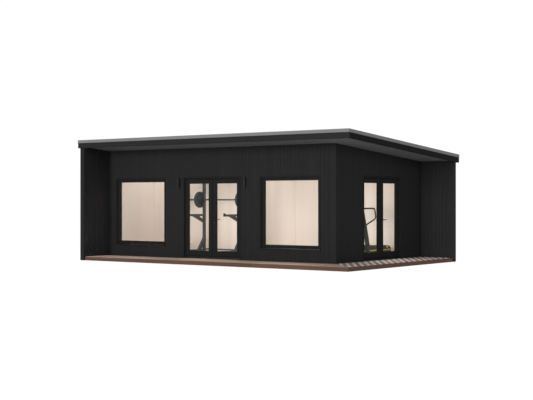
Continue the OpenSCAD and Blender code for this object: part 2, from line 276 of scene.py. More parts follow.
def lathe(m, prof, place, seg=32, mat=0, tone=0.5, closed=False):
    """Turns a profile of (r, h) about an axis. place(a, b, h) gives x, y, z, with a and b across the axis."""
    verts, faces, rows = [], [], []
    for r, h in prof:
        if r < 1e-6:
            rows.append([len(verts)] * seg)
            verts.append(place(0, 0, h))
        else:
            rows.append(list(range(len(verts), len(verts) + seg)))
            for k in range(seg):
                g = 2 * math.pi * k / seg
                verts.append(place(r * math.cos(g), r * math.sin(g), h))
    pairs = list(zip(rows, rows[1:]))
    if closed:
        pairs.append((rows[-1], rows[0]))
    for a, b in pairs:
        for k in range(seg):
            l = (k + 1) % seg
            f = []
            for i in (a[k], a[l], b[l], b[k]):
                if i not in f:
                    f.append(i)
            if len(f) > 2:
                faces.append(f)
    if not closed:
        for row in (rows[0], rows[-1]):
            if row[0] != row[1]:
                faces.append(row)
    m.add(verts, faces, mat, tone)


def rrect(x0, y0, x1, y1, r, n=5):
    pts = []
    for cx, cy, g in ((x1 - r, y0 + r, -90), (x1 - r, y1 - r, 0), (x0 + r, y1 - r, 90), (x0 + r, y0 + r, 180)):
        for i in range(n + 1):
            a = math.radians(g + 90 * i / n)
            pts.append((cx + r * math.cos(a), cy + r * math.sin(a)))
    return pts


def clip(poly, px, py, nx, ny):
    """The part of a convex polygon where (p - point) . normal <= 0."""
    out = []
    for i, (x, y) in enumerate(poly):
        x2, y2 = poly[(i + 1) % len(poly)]
        a = (x - px) * nx + (y - py) * ny
        b = (x2 - px) * nx + (y2 - py) * ny
        if a <= 0:
            out.append((x, y))
        if (a < 0 < b) or (b < 0 < a):
            t = a / (a - b)
            out.append((x + (x2 - x) * t, y + (y2 - y) * t))
    return out


def inset(poly, c):
    n = len(poly)
    area = sum(poly[i][0] * poly[(i + 1) % n][1] - poly[(i + 1) % n][0] * poly[i][1] for i in range(n))
    if area < 0:
        poly = poly[::-1]
    lines = []
    for i in range(n):
        (x, y), (x2, y2) = poly[i], poly[(i + 1) % n]
        l = math.hypot(x2 - x, y2 - y)
        nx, ny = -(y2 - y) / l, (x2 - x) / l
        lines.append((x + nx * c, y + ny * c, (x2 - x) / l, (y2 - y) / l))
    out = []
    for i in range(n):
        x1, y1, a1, b1 = lines[i - 1]
        x2, y2, a2, b2 = lines[i]
        d = a1 * b2 - b1 * a2
        if abs(d) < 1e-9:
            out.append((x2, y2))
            continue
        t = ((x2 - x1) * b2 - (y2 - y1) * a2) / d
        out.append((x1 + a1 * t, y1 + b1 * t))
    return poly, out


def clean(poly, eps=0.5):
    out = []
    for p in poly:
        if not out or math.hypot(p[0] - out[-1][0], p[1] - out[-1][1]) > eps:
            out.append(p)
    if len(out) > 1 and math.hypot(out[0][0] - out[-1][0], out[0][1] - out[-1][1]) <= eps:
        out.pop()
    return out


def plank(m, poly, z0, z1, c=3.0, mat=0, tone=0.5):
    """A flat board with a convex outline and eased top edges."""
    poly = clean(poly)
    if len(poly) < 3:
        return
    n = len(poly)
    area = abs(sum(poly[i][0] * poly[(i + 1) % n][1] - poly[(i + 1) % n][0] * poly[i][1] for i in range(n))) / 2
    if area < 1500:
        return
    around = sum(math.hypot(poly[i][0] - poly[i - 1][0], poly[i][1] - poly[i - 1][1]) for i in range(n))
    c = min(c, area / around * 0.7)
    poly, top = inset(poly, c)
    verts = [(x, y, z0) for x, y in poly] + [(x, y, z1 - c) for x, y in poly] + [(x, y, z1) for x, y in top]
    faces = [list(range(n)), list(range(2 * n, 3 * n))]
    for i in range(n):
        j = (i + 1) % n
        faces.append([i, j, n + j, n + i])
        faces.append([n + i, n + j, 2 * n + j, 2 * n + i])
    m.add(verts, faces, mat, tone)


def strip(m, place, p, q, left, right, z0, z1, ztop, depth, ch, gap, mat, tone):
    cw, cd = ch
    prof = [(p + gap, depth), (p + gap, cd), (p + gap + cw, 0)] if left else [(p, depth), (p, 0)]
    prof += [(q - gap - cw, 0), (q - gap, cd), (q - gap, depth)] if right else [(q, 0), (q, depth)]
    n = len(prof)
    low, high = [], []
    for u, d in prof:
        low.append(place(u, d, z0))
        x, y, _ = place(u, d, 0)
        high.append(place(u, d, ztop(y) if z1 is None else z1))
    faces = [list(range(n)), list(range(n, 2 * n))]
    for i in range(n):
        j = (i + 1) % n
        faces.append([i, j, n + j, n + i])
    m.add(low + high, faces, mat, tone)


def clad(m, place, u0, u1, pitch, first, z0, ztop, holes=(), depth=20.0, ch=(2.6, 3.0), gap=0.7,
         mat=0, rnd=None, tones=(0.35, 0.65)):
    """Upright boards side by side on a wall, cut round its openings. A hole is (u0, u1, z0, z1)."""
    e = first + math.floor((u0 - first) / pitch) * pitch
    while e < u1 - 1e-6:
        a, b = max(e, u0), min(e + pitch, u1)
        e += pitch
        tone = rnd.uniform(*tones)
        if b - a < 2 * (gap + ch[0]) + 1:
            continue
        cuts = sorted({a, b} | {h for hole in holes for h in hole[:2] if a < h < b})
        for p, q in zip(cuts, cuts[1:]):
            if q - p < 0.5:
                continue
            segs = [(z0, None)]
            for ha, hb, h0, h1 in holes:
                if ha <= p + 1e-6 and hb >= q - 1e-6:
                    segs = ([(z0, h0)] if h0 > z0 else []) + [(h1, None)]
            left = p == a and q - p > gap + ch[0] + 1
            right = q == b and q - p > 2 * (gap + ch[0]) + 1
            for s0, s1 in segs:
                strip(m, place, p, q, left, right, s0, s1, ztop, depth, ch, gap, mat, tone)


# ---------------------------------------------------------------- materials
def material(name):
    mt = bpy.data.materials.new(name)
    mt.use_nodes = True
    nt = mt.node_tree
    nt.nodes.clear()
    out = nt.nodes.new("ShaderNodeOutputMaterial")
    bs = nt.nodes.new("ShaderNodeBsdfPrincipled")
    nt.links.new(bs.outputs[0], out.inputs[0])
    return mt, nt, bs


def mapped(nt, scale, rot=(0, 0, 0)):
    tc = nt.nodes.new("ShaderNodeTexCoord")
    turn = nt.nodes.new("ShaderNodeMapping")
    turn.inputs["Rotation"].default_value = rot
    size = nt.nodes.new("ShaderNodeMapping")
    size.inputs["Scale"].default_value = scale
    nt.links.new(tc.outputs["Object"], turn.inputs["Vector"])
    nt.links.new(turn.outputs[0], size.inputs["Vector"])
    return size.outputs[0]


def noise_of(nt, vec, scale, detail=4.0, rough=0.55, distort=0.0):
    n = nt.nodes.new("ShaderNodeTexNoise")
    n.inputs["Scale"].default_value = scale
    n.inputs["Detail"].default_value = detail
    n.inputs["Roughness"].default_value = rough
    n.inputs["Distortion"].default_value = distort
    nt.links.new(vec, n.inputs["Vector"])
    return n.outputs[0]


def calc(nt, op, a, b, c=None):
    n = nt.nodes.new("ShaderNodeMath")
    n.operation = op
    for i, v in enumerate((a, b, c)):
        if v is None:
            continue
        if isinstance(v, (int, float)):
            n.inputs[i].default_value = v
        else:
            nt.links.new(v, n.inputs[i])
    return n.outputs[0]


def ramp(nt, fac, stops):
    n = nt.nodes.new("ShaderNodeValToRGB")
    el = n.color_ramp.elements
    while len(el) < len(stops):
        el.new(0.5)
    for e, (p, col) in zip(el, stops):
        e.position = p
        e.color = (*col, 1)
    nt.links.new(fac, n.inputs[0])
    return n.outputs[0]


def rough_of(nt, bs, fac, lo, hi):
    n = nt.nodes.new("ShaderNodeMapRange")
    n.inputs["To Min"].default_value = lo
    n.inputs["To Max"].default_value = hi
    nt.links.new(fac, n.inputs["Value"])
    nt.links.new(n.outputs[0], bs.inputs["Roughness"])


def bump_of(nt, bs, fac, strength, dist):
    n = nt.nodes.new("ShaderNodeBump")
    n.inputs["Strength"].default_value = strength
    n.inputs["Distance"].default_value = dist
    nt.links.new(fac, n.inputs["Height"])
    nt.links.new(n.outputs[0], bs.inputs["Normal"])


def tone_of(nt):
    n = nt.nodes.new("ShaderNodeAttribute")
    n.attribute_name = "tone"
    return n.outputs["Fac"]


def timber(name, dark, mid, light, grain=(40, 40, 1.6), rot=(0, 0, 0), tone=0.5, rough=(0.5, 0.7),
           bump=0.25, dist=0.0008, spec=0.3, rings=0.0, coarse=1.0):
    """Wood or woodgrain, with its grain along the axis whose scale is smallest."""
    mt, nt, bs = material(name)
    vec = mapped(nt, grain, rot)
    base = noise_of(nt, vec, 1.0 * coarse, 7, 0.62, 0.35)
    fine = noise_of(nt, vec, 6.0 * coarse, 5, 0.7, 0.1)
    fac = calc(nt, "MULTIPLY_ADD", base, 0.75, calc(nt, "MULTIPLY", fine, 0.25))
    if rings > 0:
        slow = mapped(nt, tuple(s * 0.17 for s in grain), rot)
        w = nt.nodes.new("ShaderNodeTexWave")
        w.wave_type = "RINGS"
        w.rings_direction = "SPHERICAL"
        w.inputs["Scale"].default_value = 0.9
        w.inputs["Distortion"].default_value = 5.5
        w.inputs["Detail"].default_value = 3.0
        w.inputs["Detail Scale"].default_value = 0.8
        nt.links.new(slow, w.inputs["Vector"])
        fac = calc(nt, "ADD", calc(nt, "MULTIPLY", fac, 1 - rings), calc(nt, "MULTIPLY", w.outputs["Fac"], rings))
    if tone > 0:
        t = tone_of(nt)
        fac = calc(nt, "ADD", calc(nt, "MULTIPLY", fac, 1 - tone), calc(nt, "MULTIPLY", t, tone))
    nt.links.new(ramp(nt, fac, [(0.25, dark), (0.5, mid), (0.78, light)]), bs.inputs["Base Color"])
    rough_of(nt, bs, fine, *rough)
    bump_of(nt, bs, calc(nt, "MULTIPLY_ADD", fine, 0.6, base), bump, dist)
    bs.inputs["Specular IOR Level"].default_value = spec
    return mt


def painted(name, dark, light, rough=(0.35, 0.5), grain=180.0, bump=0.08, dist=0.0004, spec=0.35,
            metallic=0.0, cloud=3.0, tone=0.0, coat=0.0):
    """Paint, plastic, rubber or coated metal: slow change of shade, a fine skin in the surface."""
    mt, nt, bs = material(name)
    vec = mapped(nt, (1, 1, 1))
    slow = noise_of(nt, vec, cloud, 5, 0.6, 0.3)
    fine = noise_of(nt, vec, grain, 3, 0.6)
    fac = calc(nt, "MULTIPLY_ADD", fine, 0.3, calc(nt, "MULTIPLY", slow, 0.7))
    if tone > 0:
        fac = calc(nt, "ADD", calc(nt, "MULTIPLY", fac, 1 - tone), calc(nt, "MULTIPLY", tone_of(nt), tone))
    nt.links.new(ramp(nt, fac, [(0.3, dark), (0.7, light)]), bs.inputs["Base Color"])
    rough_of(nt, bs, slow, *rough)
    bump_of(nt, bs, fine, bump, dist)
    bs.inputs["Specular IOR Level"].default_value = spec
    bs.inputs["Metallic"].default_value = metallic
    if coat:
        bs.inputs["Coat Weight"].default_value = coat
        bs.inputs["Coat Roughness"].default_value = 0.25
    return mt


def brushed(name, dark, light, scale=(4, 400, 400), rough=(0.25, 0.42), bump=0.1):
    mt, nt, bs = material(name)
    fine = noise_of(nt, mapped(nt, scale), 1.0, 4, 0.6)
    slow = noise_of(nt, mapped(nt, (1, 1, 1)), 6.0, 4, 0.6)
    fac = calc(nt, "MULTIPLY_ADD", fine, 0.5, calc(nt, "MULTIPLY", slow, 0.5))
    nt.links.new(ramp(nt, fac, [(0.3, dark), (0.7, light)]), bs.inputs["Base Color"])
    rough_of(nt, bs, fine, *rough)
    bump_of(nt, bs, fine, bump, 0.0002)
    bs.inputs["Metallic"].default_value = 1.0
    return mt


def glass(name, tint, alpha):
    mt, nt, bs = material(name)
    slow = noise_of(nt, mapped(nt, (1, 1, 1)), 2.0, 3, 0.5)
    rough_of(nt, bs, slow, 0.01, 0.04)
    bs.inputs["Base Color"].default_value = (*tint, 1)
    bs.inputs["Alpha"].default_value = alpha
    bs.inputs["IOR"].default_value = 1.5
    bs.inputs["Specular IOR Level"].default_value = 0.5
    return mt


M_CLAD = timber("cladding", (0.0110, 0.0110, 0.0114), (0.0140, 0.0140, 0.0145), (0.0180, 0.0180, 0.0185),
                grain=(55, 55, 2.2), tone=0.4, rough=(0.55, 0.75), bump=0.22, dist=0.0006, spec=0.12)
M_CORNER = timber("corner_trim", (0.0095, 0.0095, 0.0098), (0.0118, 0.0118, 0.0122), (0.0150, 0.0150, 0.0155),
                  grain=(60, 60, 2.0), tone=0.3, rough=(0.5, 0.7), bump=0.2, dist=0.0006, spec=0.14)
M_CORE = painted("wall_core", (0.008, 0.008, 0.008), (0.013, 0.013, 0.013), rough=(0.8, 0.95), spec=0.05)
M_FASCIA = timber("fascia_paint", (0.0105, 0.0105, 0.011), (0.0135, 0.0135, 0.014), (0.0175, 0.0175, 0.018),
                  grain=(2.0, 50, 50), tone=0.3, rough=(0.45, 0.65), bump=0.15, dist=0.0005, spec=0.15)
# darker copy of the fascia paint for the side fascias: painted shade, as the sides get less light than the front
M_FASCIA_SHADED_SIDE = timber("fascia_painted_shade_side", (0.0055, 0.0055, 0.0057), (0.0072, 0.0072, 0.0075), (0.0095, 0.0095, 0.0098),
                       grain=(50, 2.0, 50), tone=0.3, rough=(0.5, 0.7), bump=0.15, dist=0.0005, spec=0.08)
M_SOFFIT = timber("soffit", (0.110, 0.110, 0.112), (0.130, 0.130, 0.132), (0.155, 0.155, 0.157),
                  grain=(1.8, 50, 50), tone=0.35, rough=(0.6, 0.8), bump=0.15, dist=0.0005, spec=0.12)
M_TRIM = painted("edge_trim", (0.165, 0.165, 0.167), (0.190, 0.190, 0.192), rough=(0.4, 0.55), grain=260,
                 bump=0.05, spec=0.3, cloud=1.6, tone=0.25)
M_ROOF = painted("roof_membrane", (0.075, 0.076, 0.078), (0.115, 0.116, 0.118), rough=(0.75, 0.92), grain=420,
                 bump=0.5, dist=0.001, spec=0.2, cloud=1.1)
M_FRAME = painted("frame_paint", (0.0100, 0.0100, 0.0100), (0.0136, 0.0136, 0.0136), rough=(0.5, 0.65), grain=320,
                  bump=0.05, spec=0.08, cloud=4)
M_BEAD = painted("frame_bead", (0.0108, 0.0108, 0.0108), (0.0146, 0.0146, 0.0146), rough=(0.5, 0.65), grain=320,
                 bump=0.05, spec=0.08, cloud=4)
M_RUBBER = painted("seal_rubber", (0.006, 0.006, 0.006), (0.011, 0.011, 0.011), rough=(0.7, 0.9), grain=500, spec=0.15)
M_SPACER = painted("glass_spacer", (0.010, 0.010, 0.010), (0.016, 0.016, 0.016), rough=(0.6, 0.8), grain=300, spec=0.1)
M_GLASS = glass("window_glass", (0.10, 0.12, 0.12), 0.028)
M_SILL = painted("sill_paint", (0.0105, 0.0105, 0.0105), (0.0145, 0.0145, 0.0145), rough=(0.4, 0.55), grain=300,
                 bump=0.05, spec=0.2, cloud=4)
M_STEEL = brushed("hinge_steel", (0.10, 0.10, 0.105), (0.17, 0.17, 0.175), rough=(0.35, 0.5))
M_HINGE = painted("hinge_paint", (0.007, 0.007, 0.007), (0.011, 0.011, 0.011), rough=(0.45, 0.6), grain=400, bump=0.06,
                  spec=0.15)
M_HANDLE = painted("handle_metal", (0.006, 0.006, 0.0065), (0.010, 0.010, 0.0105), rough=(0.4, 0.5), grain=300,
                   bump=0.05, spec=0.2, metallic=0.2)
M_LAMP = painted("lamp_metal", (0.008, 0.008, 0.008), (0.013, 0.013, 0.013), rough=(0.45, 0.6), grain=420,
                 bump=0.12, spec=0.25)
M_LENS = painted("lamp_lens", (0.60, 0.58, 0.52), (0.72, 0.70, 0.64), rough=(0.2, 0.3), grain=200, spec=0.5)
M_LINING = timber("lining_ply", (0.60, 0.528, 0.466), (0.655, 0.590, 0.528), (0.70, 0.640, 0.582),
                  grain=(7, 7, 0.55), tone=0.22, rough=(0.5, 0.65), bump=0.05, dist=0.0003, spec=0.25, rings=0.25)
M_CEILING = timber("ceiling_ply", (0.66, 0.58, 0.50), (0.73, 0.66, 0.58), (0.78, 0.72, 0.65),
                   grain=(0.55, 7, 7), tone=0.25, rough=(0.5, 0.65), bump=0.05, dist=0.0003, spec=0.25, rings=0.3)
M_FLOOR = timber("floor_boards", (0.30, 0.215, 0.150), (0.38, 0.285, 0.205), (0.46, 0.36, 0.27),
                 grain=(1.3, 24, 24), tone=0.4, rough=(0.3, 0.45), bump=0.12, dist=0.0004, spec=0.4, rings=0.15)
M_DECK = timber("decking", (0.37, 0.256, 0.200), (0.55, 0.400, 0.325), (0.70, 0.545, 0.458),
                grain=(1.7, 32, 32), tone=0.45, rough=(0.55, 0.75), bump=0.35, dist=0.001, spec=0.25, rings=0.12)
M_DECK_SIDE = timber("decking_side", (0.30, 0.215, 0.168), (0.56, 0.465, 0.41), (0.92, 0.86, 0.82),
                     grain=(32, 1.7, 32), rot=(0, 0, math.radians(-34.8)), tone=0.8, rough=(0.55, 0.75), bump=0.3,
                     dist=0.001, spec=0.25, rings=0.05)
M_DECK_FASCIA = timber("deck_fascia", (0.078, 0.040, 0.028), (0.107, 0.057, 0.040), (0.143, 0.080, 0.058),
                       grain=(1.8, 1.8, 34), tone=0.3, rough=(0.6, 0.8), bump=0.3, dist=0.0009, spec=0.1, rings=0.1)
M_JOIST = timber("structure_timber", (0.16, 0.11, 0.07), (0.22, 0.16, 0.105), (0.29, 0.215, 0.15),
                 grain=(24, 24, 24), tone=0.0, rough=(0.7, 0.85), bump=0.3, dist=0.001, spec=0.2)
M_RACK = painted("rack_paint", (0.026, 0.033, 0.037), (0.036, 0.044, 0.050), rough=(0.4, 0.52), grain=380,
                 bump=0.12, spec=0.35)
M_RACKDARK = painted("rack_dark", (0.012, 0.012, 0.013), (0.022, 0.022, 0.023), rough=(0.5, 0.65), grain=300, spec=0.3)
M_BAR = brushed("bar_steel", (0.075, 0.076, 0.078), (0.115, 0.116, 0.118), scale=(8, 300, 300))
M_PLATE = painted("plate_rubber", (0.022, 0.027, 0.031), (0.036, 0.042, 0.048), rough=(0.55, 0.72), grain=300,
                  bump=0.3, dist=0.0006, spec=0.3, cloud=8)
M_BODY = painted("treadmill_plastic", (0.032, 0.037, 0.041), (0.046, 0.052, 0.057), rough=(0.38, 0.5), grain=420,
                 bump=0.12, spec=0.4)
M_TFRAME = painted("treadmill_metal", (0.022, 0.028, 0.032), (0.033, 0.040, 0.045), rough=(0.35, 0.48), grain=360,
                   bump=0.08, spec=0.4, metallic=0.1)
M_BELT = painted("treadmill_belt", (0.012, 0.012, 0.012), (0.022, 0.022, 0.022), rough=(0.75, 0.9), grain=600,
                 bump=0.6, dist=0.0008, spec=0.2)
M_YELLOW = painted("yellow_accent", (0.72, 0.61, 0.060), (0.82, 0.72, 0.090), rough=(0.35, 0.45), grain=300, spec=0.4)
M_SCREEN = painted("console_screen", (0.004, 0.005, 0.006), (0.007, 0.008, 0.009), rough=(0.08, 0.14), grain=30,
                   bump=0.0, spec=0.5)

rnd = random.Random(11)
BODY = "building"


def on_front(u, d, z):
    return u, yf + d, z


def on_right(u, d, z):
    return xr - d, u, z


def on_left(u, d, z):
    return xl + d, u, z


def on_wing_inner(u, d, z):
    return xli - d, u, z


def on_rear(u, d, z):
    return u, yb - d, z


def on_rear_wing(u, d, z):
    return u, yw + d, z


def on_slope(x, y, b):
    """b is the depth below the top of the roof's edge trim."""
    return x, y, zt(y) - b


# ---------------------------------------------------------------- outer walls
front_holes = [(c - win_w / 2, c + win_w / 2, win_z0, win_z1) for c in win_x]
front_holes.insert(1, (dx0, dx1, 0, door_top))
side_holes = [(sy0, sy1, 0, door_top)]
up = lambda y: zs(y) + 6
T = 19.4  # the core starts just inside the boards' backs


def cores(m, place, u0, u1, d0, d1, z0, ztop, holes=()):
    cuts = sorted({u0, u1} | {h for hole in holes for h in hole[:2]})
    for p, q in zip(cuts, cuts[1:]):
        segs = [(z0, None)]
        for ha, hb, h0, h1 in holes:
            if ha <= p and hb >= q:
                segs = ([(z0, h0)] if h0 > z0 else []) + [(h1, None)]
        for s0, s1 in segs:
            ps = [place(u, d, 0) for u, d in ((p, d0), (q, d0), (q, d1), (p, d1))]
            low = [(x, y, s0) for x, y, _ in ps]
            high = [(x, y, ztop(y) if s1 is None else s1) for x, y, _ in ps]
            m.add(low + high, [[0, 1, 2, 3], [4, 5, 6, 7], [0, 1, 5, 4], [1, 2, 6, 5], [2, 3, 7, 6], [3, 0, 4, 7]], 1, 0.5)


m = Mesh()
clad(m, on_front, xli, xr, 100, xr, deck_z + 4, up, front_holes, rnd=rnd)
cores(m, on_front, xli, xr, T, yfi - yf, 0, wall_top, front_holes)
make("front_wall_boards", m, [M_CLAD, M_CORE], BODY,
     ("front_wall_left", "front_wall_head", "front_wall_right"))

m = Mesh()
clad(m, on_right, yf, yw, 100, yf, deck_z + 4, up, side_holes, rnd=rnd)
cores(m, on_right, yfi, ybi, T, xr - xri, 0, wall_top, side_holes)
make("right_wall_boards", m, [M_CLAD, M_CORE], BODY,
     ("right_wall_front", "right_wall_head", "right_wall_rear"))

m = Mesh()
clad(m, on_left, ye, yb, 100, ye, 15, wall_top, rnd=rnd)
clad(m, on_wing_inner, ye, yf, 100, ye, deck_z + 4, up, rnd=rnd)
cores(m, on_left, ye, yf, T, xli - xl - T, 0, wall_top)
cores(m, on_left, yf, yb - T, T, xli - xl, 0, wall_top)
make("left_wall_boards", m, [M_CLAD, M_CORE], BODY, ("left_side_wall",))

m = Mesh()
clad(m, on_rear, xl + 20, xr, 100, xl, 15, wall_top, rnd=rnd)
cores(m, on_rear, xli, xr, T, yb - ybi, 0, wall_top)
make("rear_wall_boards", m, [M_CLAD, M_CORE], BODY, ("rear_wall",))

m = Mesh()
clad(m, on_rear, xr, xw, 100, xl, 15, wall_top, rnd=rnd)
clad(m, on_rear_wing, xr, xw, 100, xw, deck_z + 4, up, rnd=rnd)
cores(m, on_rear, xr, xw - 1, T, yb - yw - T, 0, wall_top)
make("rear_wing_boards", m, [M_CLAD, M_CORE], BODY, ("rear_wing_wall",))

# corner boards and beads
m = Mesh()
CT = box_mm("corner_trims")
pt = CT[1][0] - xw  # how far they stand proud
cw = 145.0


def upright(m, x0, y0, x1, y1, z0, c=3.0, tone=0.5, top=zs):
    z1 = min(top(y0), top(y1)) - 2
    cbox(m, (x0, y0, z0), (x1, y1, z1), c, 0, tone)


upright(m, xr - cw, yf - pt, xr + pt, yf, deck_z + 2, tone=0.55)
upright(m, xr, yf + 0.6, xr + pt, yf - pt + cw, deck_z + 2, tone=0.5)
cbox(m, (xl, ye - pt, 6), (xli, ye, zt(ye) - 208), 3, 0, 0.62)
cbox(m, (xw - 120, yw - pt, 6), (xw + pt, yw, zt(yb) - 208), 3, 0, 0.5)
cbox(m, (xw, yw + 0.6, 6), (xw + pt, yb, zt(yb) - 208), 3, 0, 0.6)
# quarter beads in the inner corners, and narrow boards on the rear corner
upright(m, xr, yw - 22, xr + 22, yw, deck_z + 2, 5, 0.9)
upright(m, xli, yf - 22, xli + 22, yf, deck_z + 2, 5, 0.6)
cbox(m, (xl - 8, yb - 62, 6), (xl, yb + 8, zt(yb) - 208), 2, 0, 0.45)
cbox(m, (xl + 0.5, yb, 6), (xl + 62, yb + 8, zt(yb) - 208), 2, 0, 0.5)
make("corner_boards", m, [M_CORNER], BODY, ("corner_trims",))

# ---------------------------------------------------------------- roof
m = Mesh()
prof = [(4, 0), (1.6, 3), (1.6, 64), (0.3, 69), (0.3, 74.8), (4.6, 74.8), (4.6, 23.4), (110, 23.4), (110, 5), (104, 0)]


def in_plan(u, d, z):
    return u, z, zt(z) - d


ring(m, (-rx, rx, -ry, ry), prof, in_plan, tone=0.5)
for side in (-1, 1):
    for k in range(1, 4):  # joint covers
        x = -rx + 2 * rx * k / 4 + 37 * side
        cbox(m, (x - 40, side * (ry - 1.8), -1.6), (x + 40, side * (ry - 0.4), 64), 0.6, 0, 0.65,
             lambda x, y, b: (x, y, zt(y) - max(b, 0)))
        cbox(m, (x - 40, side * (ry - 5), -0.0), (x + 40, side * (ry - 118), 0.9), 0.3, 0, 0.6,
             lambda x, y, b: (x, y, zt(y) - 0.9 + b))
    y = 90 * side
    cbox(m, (side * (rx - 1.8), y - 40, 0), (side * (rx - 0.4), y + 40, 64), 0.6, 0, 0.65, on_slope)
make("roof_edge_metal", m, [M_TRIM], BODY, ("roof_edge_trim",))

m = Mesh()
for y0, y1 in ((-fy, ye), (yr, fy)):
    n = 3
    for k in range(n):
        a = -fx + 2 * fx * k / n + (1 if k else 0)
        b = -fx + 2 * fx * (k + 1) / n - (1 if k < n - 1 else 0)
        cbox(m, (a, y0, 25), (b, y1, 200), 3, 0, rnd.uniform(0.35, 0.65), on_slope)
# the side fascias take material 1, the darker copy of the fascia paint: painted shade
for x0, x1 in ((-fx, xl), (xw, fx)):
    n = 2
    for k in range(n):
        a = ye + 1 + (yr - ye - 2) * k / n + (1 if k else 0)
        b = ye + 1 + (yr - ye - 2) * (k + 1) / n - (1 if k < n - 1 else 0)
        cbox(m, (x0, a, 25), (x1, b, 200), 3, 1, rnd.uniform(0.35, 0.65), on_slope)
make("fascia_planks", m, [M_FASCIA, M_FASCIA_SHADED_SIDE], BODY, ("fascia_boards",))

m = Mesh()
pitch = 115.0
rows = []
y = ye
while y < yw - 1:
    rows += [(xli, xw, y, min(y + pitch, yf)), (xr, xw, max(y, yf), min(y + pitch, yw))]
    y += pitch
rows.append((xl + 1, xw - 1, yb, yr))
for x0, x1, a, b in rows:
    if b - a < 12:
        continue
    joints = [x0]
    k = x0 + rnd.uniform(1500, 3200)
    while k < x1 - 700:
        joints.append(k)
        k += rnd.uniform(2400, 3300)
    joints.append(x1)
    for p, q in zip(joints, joints[1:]):
        tone = rnd.uniform(0.2, 0.8)
        prof = [(a + 0.8, 12), (a + 0.8, 4), (a + 4.5, 0), (b - 4.5, 0), (b - 0.8, 4), (b - 0.8, 12)]
        low = [(p + (1 if p > x0 else 0), yy, zs(yy) + h * 0.96) for yy, h in prof]
        high = [(q - (1 if q < x1 else 0), yy, zs(yy) + h * 0.96) for yy, h in prof]
        n = len(prof)
        m.add(low + high, [list(range(n)), list(range(n, 2 * n))] +
              [[i, (i + 1) % n, n + (i + 1) % n, n + i] for i in range(n)], 0, tone)
make("soffit_planks", m, [M_SOFFIT], BODY, ("soffit_boards",))

m = Mesh()
for k in range(1, 8):  # laps of the covering
    x = -fx + 105 + (2 * fx - 210) * k / 8
    cbox(m, (x - 45, -fy + 108, 22.4), (x + 45, fy - 108, 24.6), 1, 0, 0.5, on_slope)
for s in (-1, 1):
    cbox(m, (-fx + 105, s * (fy - 106), 22.2), (fx - 105, s * (fy - 175), 24.6), 1, 0, 0.4, on_slope)
    cbox(m, (s * (fx - 106), -fy + 176, 22.2), (s * (fx - 175), fy - 176, 24.6), 1, 0, 0.4, on_slope)
make("roof_laps", m, [M_ROOF], BODY)

# ---------------------------------------------------------------- lining, ceiling and floor
m = Mesh()
LP = 1220.0
li = dict(depth=lining - 0.3, ch=(2.5, 2.5), gap=1.5, mat=0, rnd=rnd, tones=(0.15, 0.85))
under = lambda y: zs(y) - 1
clad(m, lambda u, d, z: (u, ybi - lining + d, z), xli + lining, xri - lining, LP, -713.5, floor_z + 1, under, **li)
clad(m, lambda u, d, z: (xli + lining - d, u, z), yfi + lining, ybi, LP, 117.5, floor_z + 1, under, **li)
clad(m, lambda u, d, z: (u, yfi + lining - d, z), xli + lining, xri - lining, LP, -713.5 - 600, floor_z + 1, under,
     [(a, b, c, d) for a, b, c, d in front_holes], **li)
clad(m, lambda u, d, z: (xri - lining + d, u, z), yfi + lining, ybi, LP, 117.5, floor_z + 1, under, side_holes, **li)
make("lining_panels", m, [M_LINING], BODY, ("wall_lining",))

m = Mesh()
cx0, cx1, cy0, cy1 = xli, xri, yfi, ybi
nx, ny = 3, 3
for j in range(ny):
    ya, yb_ = cy0 + (cy1 - cy0) * j / ny, cy0 + (cy1 - cy0) * (j + 1) / ny
    off = 1100 if j % 2 else 0
    xs = [cx0] + [x for x in (cx0 + 2440 * k - off for k in range(1, 4)) if cx0 + 200 < x < cx1 - 200] + [cx1]
    for p, q in zip(xs, xs[1:]):
        cbox(m, (p + 1, ya + 1, 0.6), (q - 1, yb_ - 1, 11.6), 1.2, 0, rnd.uniform(0.2, 0.8),
             lambda x, y, b: (x, y, zs(y) + b))
make("ceiling_panels", m, [M_CEILING], BODY, ("ceiling_lining",))

m = Mesh()
y = FLOOR[0][1]
row = 0
while y < FLOOR[1][1] - 1:
    y1 = min(y + 186, FLOOR[1][1])
    x = FLOOR[0][0]
    end = x + rnd.uniform(500, 1800)
    while x < FLOOR[1][0] - 1:
        x1 = min(end, FLOOR[1][0])
        if FLOOR[1][0] - x1 < 250:
            x1 = FLOOR[1][0]
        cbox(m, (x + 0.5, y + 0.5, floor_z - 19.5), (x1 - 0.5, y1 - 0.5, floor_z), 1.5, 0, rnd.uniform(0.1, 0.9))
        x = x1
        end = x + 1830
    y = y1
    row += 1
make("floor_planks", m, [M_FLOOR], BODY, ("floor_finish",))

# ---------------------------------------------------------------- deck
xo, yo = deck_x - 25, deck_y + 25
m = Mesh()
rows = 6
step = (yf - yo) / rows
mx, my = xo - xr, yo - yf
L = math.hypot(mx, my)
nxm, nym = -my / L, mx / L  # normal of the mitre, towards the side deck
for r in range(rows):
    a, b = yo + r * step, yo + (r + 1) * step - 5
    if r == rows - 1:
        b = yf - 2
    cuts = [xli + 2] + sorted(xli + d for d in ((2400, 5400), (1500, 4200, 6600), (3300, 6000))[r % 3]) + [xo]
    for p, q in zip(cuts, cuts[1:]):
        poly = [(p + 1.5, a), (q - 1.5, a), (q - 1.5, b), (p + 1.5, b)]
        poly = clip(poly, xr - 3, yf, nxm, nym)
        if len(poly) > 2:
            plank(m, poly, deck_z - 28, deck_z, 3.5, 0, rnd.uniform(0.1, 0.9))
make("front_deck_planks", m, [M_DECK], BODY, ("deck_boards",))

